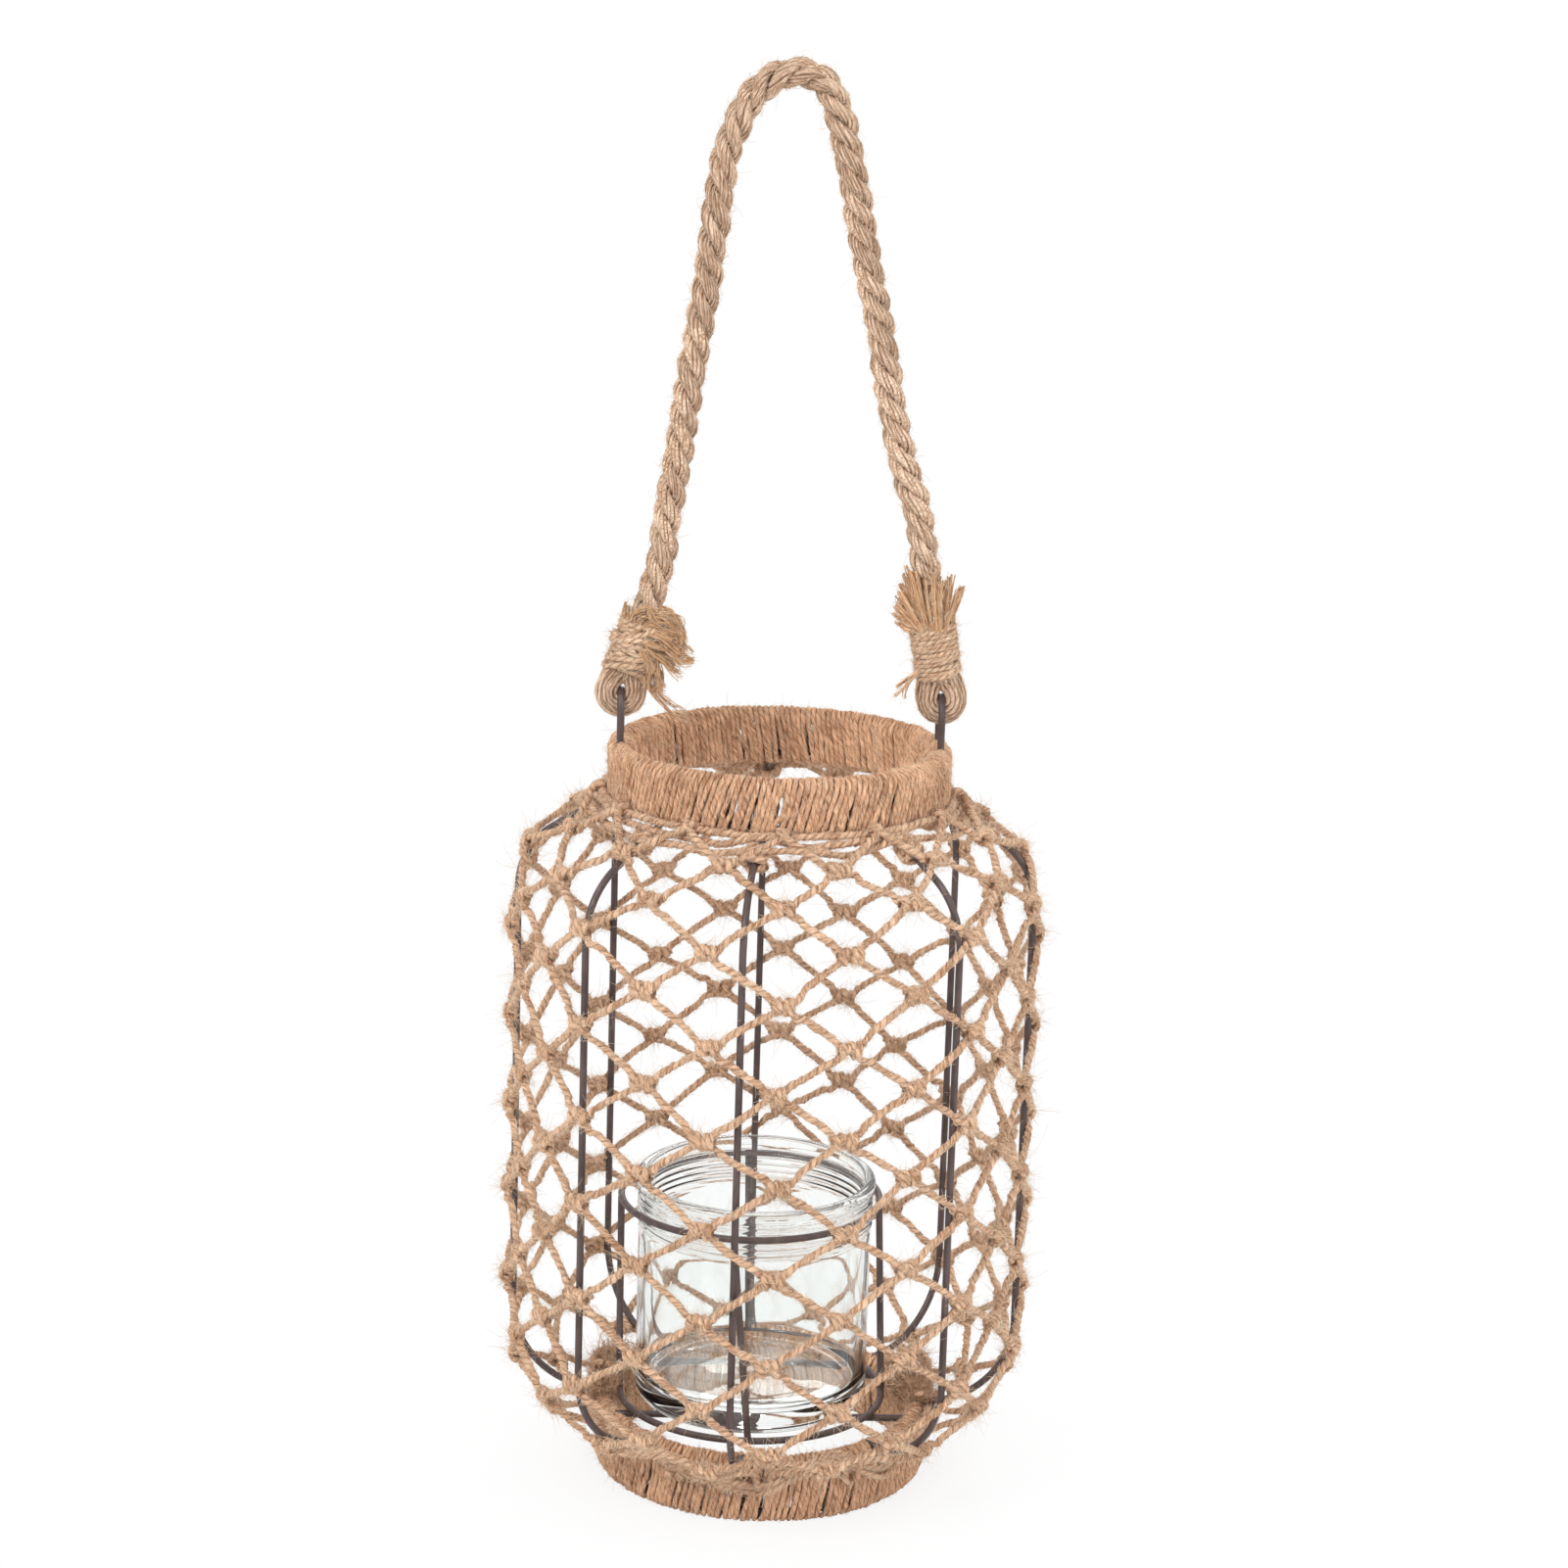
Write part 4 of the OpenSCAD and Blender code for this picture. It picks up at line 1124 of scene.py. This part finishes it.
def jar_profile():
    """The jar's outline, from the middle of its underside round to the middle of its floor."""
    low, rim = JAR_LOW[2], JAR_HIGH[2]
    lip_r = (JAR_HIGH[0] - JAR_LOW[0]) / 2
    body_r = lip_r - JAR_LIP_OUT
    punt = body_r - JAR_HEEL_R - 1
    band_low = rim - JAR_LIP_H - JAR_RIDGE_PITCH * JAR_RIDGES
    inner = body_r - JAR_WALL
    floor_z = low + JAR_FLOOR
    out = [(0.01, low + 0.7), (punt * 0.5, low + 0.6), (punt * 0.85, low + 0.4), (punt - 2, low + 0.12),
           (punt, low)]
    out += round_stretch(body_r - JAR_HEEL_R, low + JAR_HEEL_R, JAR_HEEL_R, 0.1 - math.pi / 2, 0, 10)
    out += [(body_r, z) for z in np.arange(low + JAR_HEEL_R + 4, band_low - 1, 4)]
    out += [(body_r + 0.5 * abs(math.sin(math.pi * d / JAR_RIDGE_PITCH)) ** 1.5, band_low + d)
            for d in np.arange(0, JAR_RIDGES * JAR_RIDGE_PITCH + 0.01, JAR_RIDGE_PITCH / 8)]
    out += [(lip_r - 1.0, rim - 6.0), (lip_r - 0.25, rim - 5.4), (lip_r, rim - 4.4), (lip_r, rim - JAR_LIP_R)]
    out += round_stretch(lip_r - JAR_LIP_R, rim - JAR_LIP_R, JAR_LIP_R, 0.2, math.pi / 2, 7)
    out += round_stretch(inner + JAR_MOUTH_R, rim - JAR_MOUTH_R, JAR_MOUTH_R, math.pi / 2 + 0.25, math.pi, 6)
    out += [(inner - 0.12 * math.sin(2 * math.pi * (rim - z) / JAR_RIDGE_PITCH) ** 2, z)
            for z in np.arange(rim - 3, band_low - 2, -0.35)]
    out += [(inner, z) for z in np.arange(band_low - 5, floor_z + 9, -4)]
    out += round_stretch(inner - JAR_FLOOR_R, floor_z + JAR_FLOOR_R, JAR_FLOOR_R, -0.1, -math.pi / 2, 9)
    out += [(inner * share, floor_z + rise)
            for share, rise in ((0.72, -0.1), (0.66, 0.25), (0.45, 0.35), (0.4, 0.6))]
    return out + [(0.01, floor_z + 0.9)]


def candle_jar():
    """The jar's outline turned round its own axis."""
    profile = np.array(jar_profile())
    middle = (JAR_LOW + JAR_HIGH) / 2
    a = np.arange(JAR_SIDES) * 2 * math.pi / JAR_SIDES
    r, z = profile[:, :1], profile[:, 1:]
    verts = np.stack([middle[0] + r * np.cos(a), middle[1] + r * np.sin(a), z + 0 * a], -1).reshape(-1, 3)
    shape = Shape()
    shape.add(verts, tube_faces(len(profile), JAR_SIDES), np.zeros((len(verts), 2)))
    return shape


# ------------------------------------------------------------ pieces placed

def place(name, shape, material, body, slot, *replaced):
    piece = shape.make(name, material)
    if replaced:
        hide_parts(*replaced)
    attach(piece, body)


def place_hairy(name, fibre_name, made, material, body, slot, *replaced):
    """A piece of twine or rope and, as a piece of its own, the loose fibres that stand off it."""
    shape, hairs = made
    place(name, shape, material, body, slot, *replaced)
    place(fibre_name, hairs, HAIR_JUTE, body, slot)


def dress_collars():
    for which, low, high, slits, seed in (("upper", NECK_RING_Z, TOP_RING_Z, UPPER_SLITS, SEED + 5),
                                          ("lower", BASE_RING_Z, LOW_RING_Z, LOWER_SLITS, SEED + 6)):
        place_hairy(f"{which}_collar_twine", f"{which}_collar_fibres", wound_collar(low, high, slits, seed),
                    COLLAR_JUTE, "lantern", "wound_twine", f"{which}_collar_wrap")


def dress_net():
    for i in range(1, 2 * KNOTS_PER_ROW + 1):
        place_hairy(f"net_twine_{i}", f"net_fibres_{i}", net_cord(i), NET_JUTE, "lantern", "net_twine",
                    f"net_cord_{i}")
    rng = np.random.default_rng(SEED + 400)
    place_hairy("net_head_twine", "net_head_fibres", net_head(rng), NET_JUTE, "lantern", "net_twine",
                "net_head_cord")
    place_hairy("net_edge_twine", "net_edge_fibres", net_edge(rng), NET_JUTE, "lantern", "net_twine")
    for side, degrees, lean in (("left", 172, -7), ("right", 6, -9)):
        place(f"net_ends_{side}", gathered_ends(rng, degrees, lean), NET_JUTE, "lantern", "net_twine")


def dress_handle():
    place_hairy("rope", "rope_fibres", rope(), ROPE_JUTE, "handle", "rope", "rope_handle")
    for side in ("left", "right"):
        place_hairy(f"opened_yarns_{side}", f"opened_yarn_fibres_{side}", rope_loop(side), ROPE_JUTE,
                    "handle", "rope", f"rope_loop_{side}")
        place_hairy(f"lashing_{side}", f"lashing_fibres_{side}", whipping(side), LASHING_JUTE,
                    "handle", "wound_twine", f"whipping_{side}")
        place_hairy(f"teased_ends_{side}", f"teased_fibres_{side}", frayed_ends(side), FRAYED_JUTE,
                    "handle", "frayed_jute", f"frayed_ends_{side}")


def paint_wires():
    for part in frame["record"]["subparts"]:
        if part["material_slot"] == "frame_wire":
            materials = nodes[part["node"]].data.materials
            materials.clear()
            materials.append(WIRE)


# ------------------------------------------------------------------- studio

def camera():
    """Long lens, a little above the lantern, leaning with it."""
    data = bpy.data.cameras.new("camera")
    data.sensor_width = 36
    data.lens = 85.0
    eye = Vector((-0.0447, -1.4255, 0.6319))
    yaw, pitch, roll = math.radians(1.879), math.radians(13.64), math.radians(1.729)
    ahead = Vector((math.sin(yaw) * math.cos(pitch), math.cos(yaw) * math.cos(pitch), -math.sin(pitch)))
    right = Vector((math.cos(yaw), -math.sin(yaw), 0))
    up = right.cross(ahead)
    tilted_right = right * math.cos(roll) + up * math.sin(roll)
    tilted_up = -right * math.sin(roll) + up * math.cos(roll)
    turn = Matrix((tilted_right, tilted_up, -ahead)).transposed().to_4x4()
    view = add_object("camera", data)
    view.matrix_world = Matrix.Translation(eye) @ turn
    bpy.context.scene.camera = view


def lamp(name, spot, target, size, power):
    data = bpy.data.lights.new(name, "AREA")
    data.shape = "DISK"
    data.size = size
    data.energy = power
    light = add_object(name, data)
    light.location = spot
    light.rotation_euler = (Vector(target) - Vector(spot)).to_track_quat("-Z", "Y").to_euler()


def seen_rays(tree):
    """1 for what the camera sees, directly, mirrored or through glass."""
    path = tree.nodes.new("ShaderNodeLightPath")
    seen = add_math(tree, "MAXIMUM", path.outputs["Is Camera Ray"], path.outputs["Is Glossy Ray"])
    return add_math(tree, "MAXIMUM", seen, path.outputs["Is Transmission Ray"])


def sky():
    """White where it is seen, and softer as a light."""
    world = bpy.data.worlds.new("studio")
    bpy.context.scene.world = world
    world.use_nodes = True
    tree = world.node_tree
    tree.nodes.clear()
    soft, white = (add_node(tree, "Background", {"Color": (1, 1, 1, 1), "Strength": strength})
                   for strength in (0.62, 1.0))
    mix_shaders(tree, seen_rays(tree), soft, white, tree.nodes.new("ShaderNodeOutputWorld"))


def floor():
    """A pale floor that keeps the shadow near the lantern and runs out to white."""
    mesh = bpy.data.meshes.new("floor")
    half, drop = 6.0, 0.0002
    corners = [(-half, -half, 0), (half, -half, 0), (half, half, 0), (-half, half, 0)]
    mesh.from_pydata(corners, [], [(0, 1, 2, 3)])
    plane = add_object("floor", mesh)
    plane.location.z = -drop
    material, tree, shader = new_material("pale_floor", {
        "Base Color": (0.94, 0.94, 0.94, 1), "Roughness": 0.9, "Specular IOR Level": 0.1})
    white = add_node(tree, "Emission", {"Strength": 1.0})
    length = add_node(tree, "VectorMath", {0: add_position(tree)})
    length.operation = "LENGTH"
    far = add_range(tree, length.outputs["Value"], 0.07, 0.17, 0.84, 1.0)
    seen = add_math(tree, "MULTIPLY", far, seen_rays(tree))
    mix_shaders(tree, seen, shader, white, tree.nodes["Material Output"])
    mesh.materials.append(material)


def studio():
    bpy.context.scene.view_settings.view_transform = "Standard"
    sky()
    floor()
    lamp("key", (-1.3, -1.6, 1.9), (0, 0, 0.25), 1.2, 36)
    lamp("fill", (1.7, -1.1, 1.0), (0, 0, 0.25), 1.4, 15)
    lamp("back", (0.3, 1.8, 1.5), (0, 0, 0.3), 1.2, 15)


camera()
paint_wires()
dress_collars()
dress_net()
dress_handle()
place("candle_jar", candle_jar(), GLASS, "jar", "jar_glass", "glass_jar")
studio()
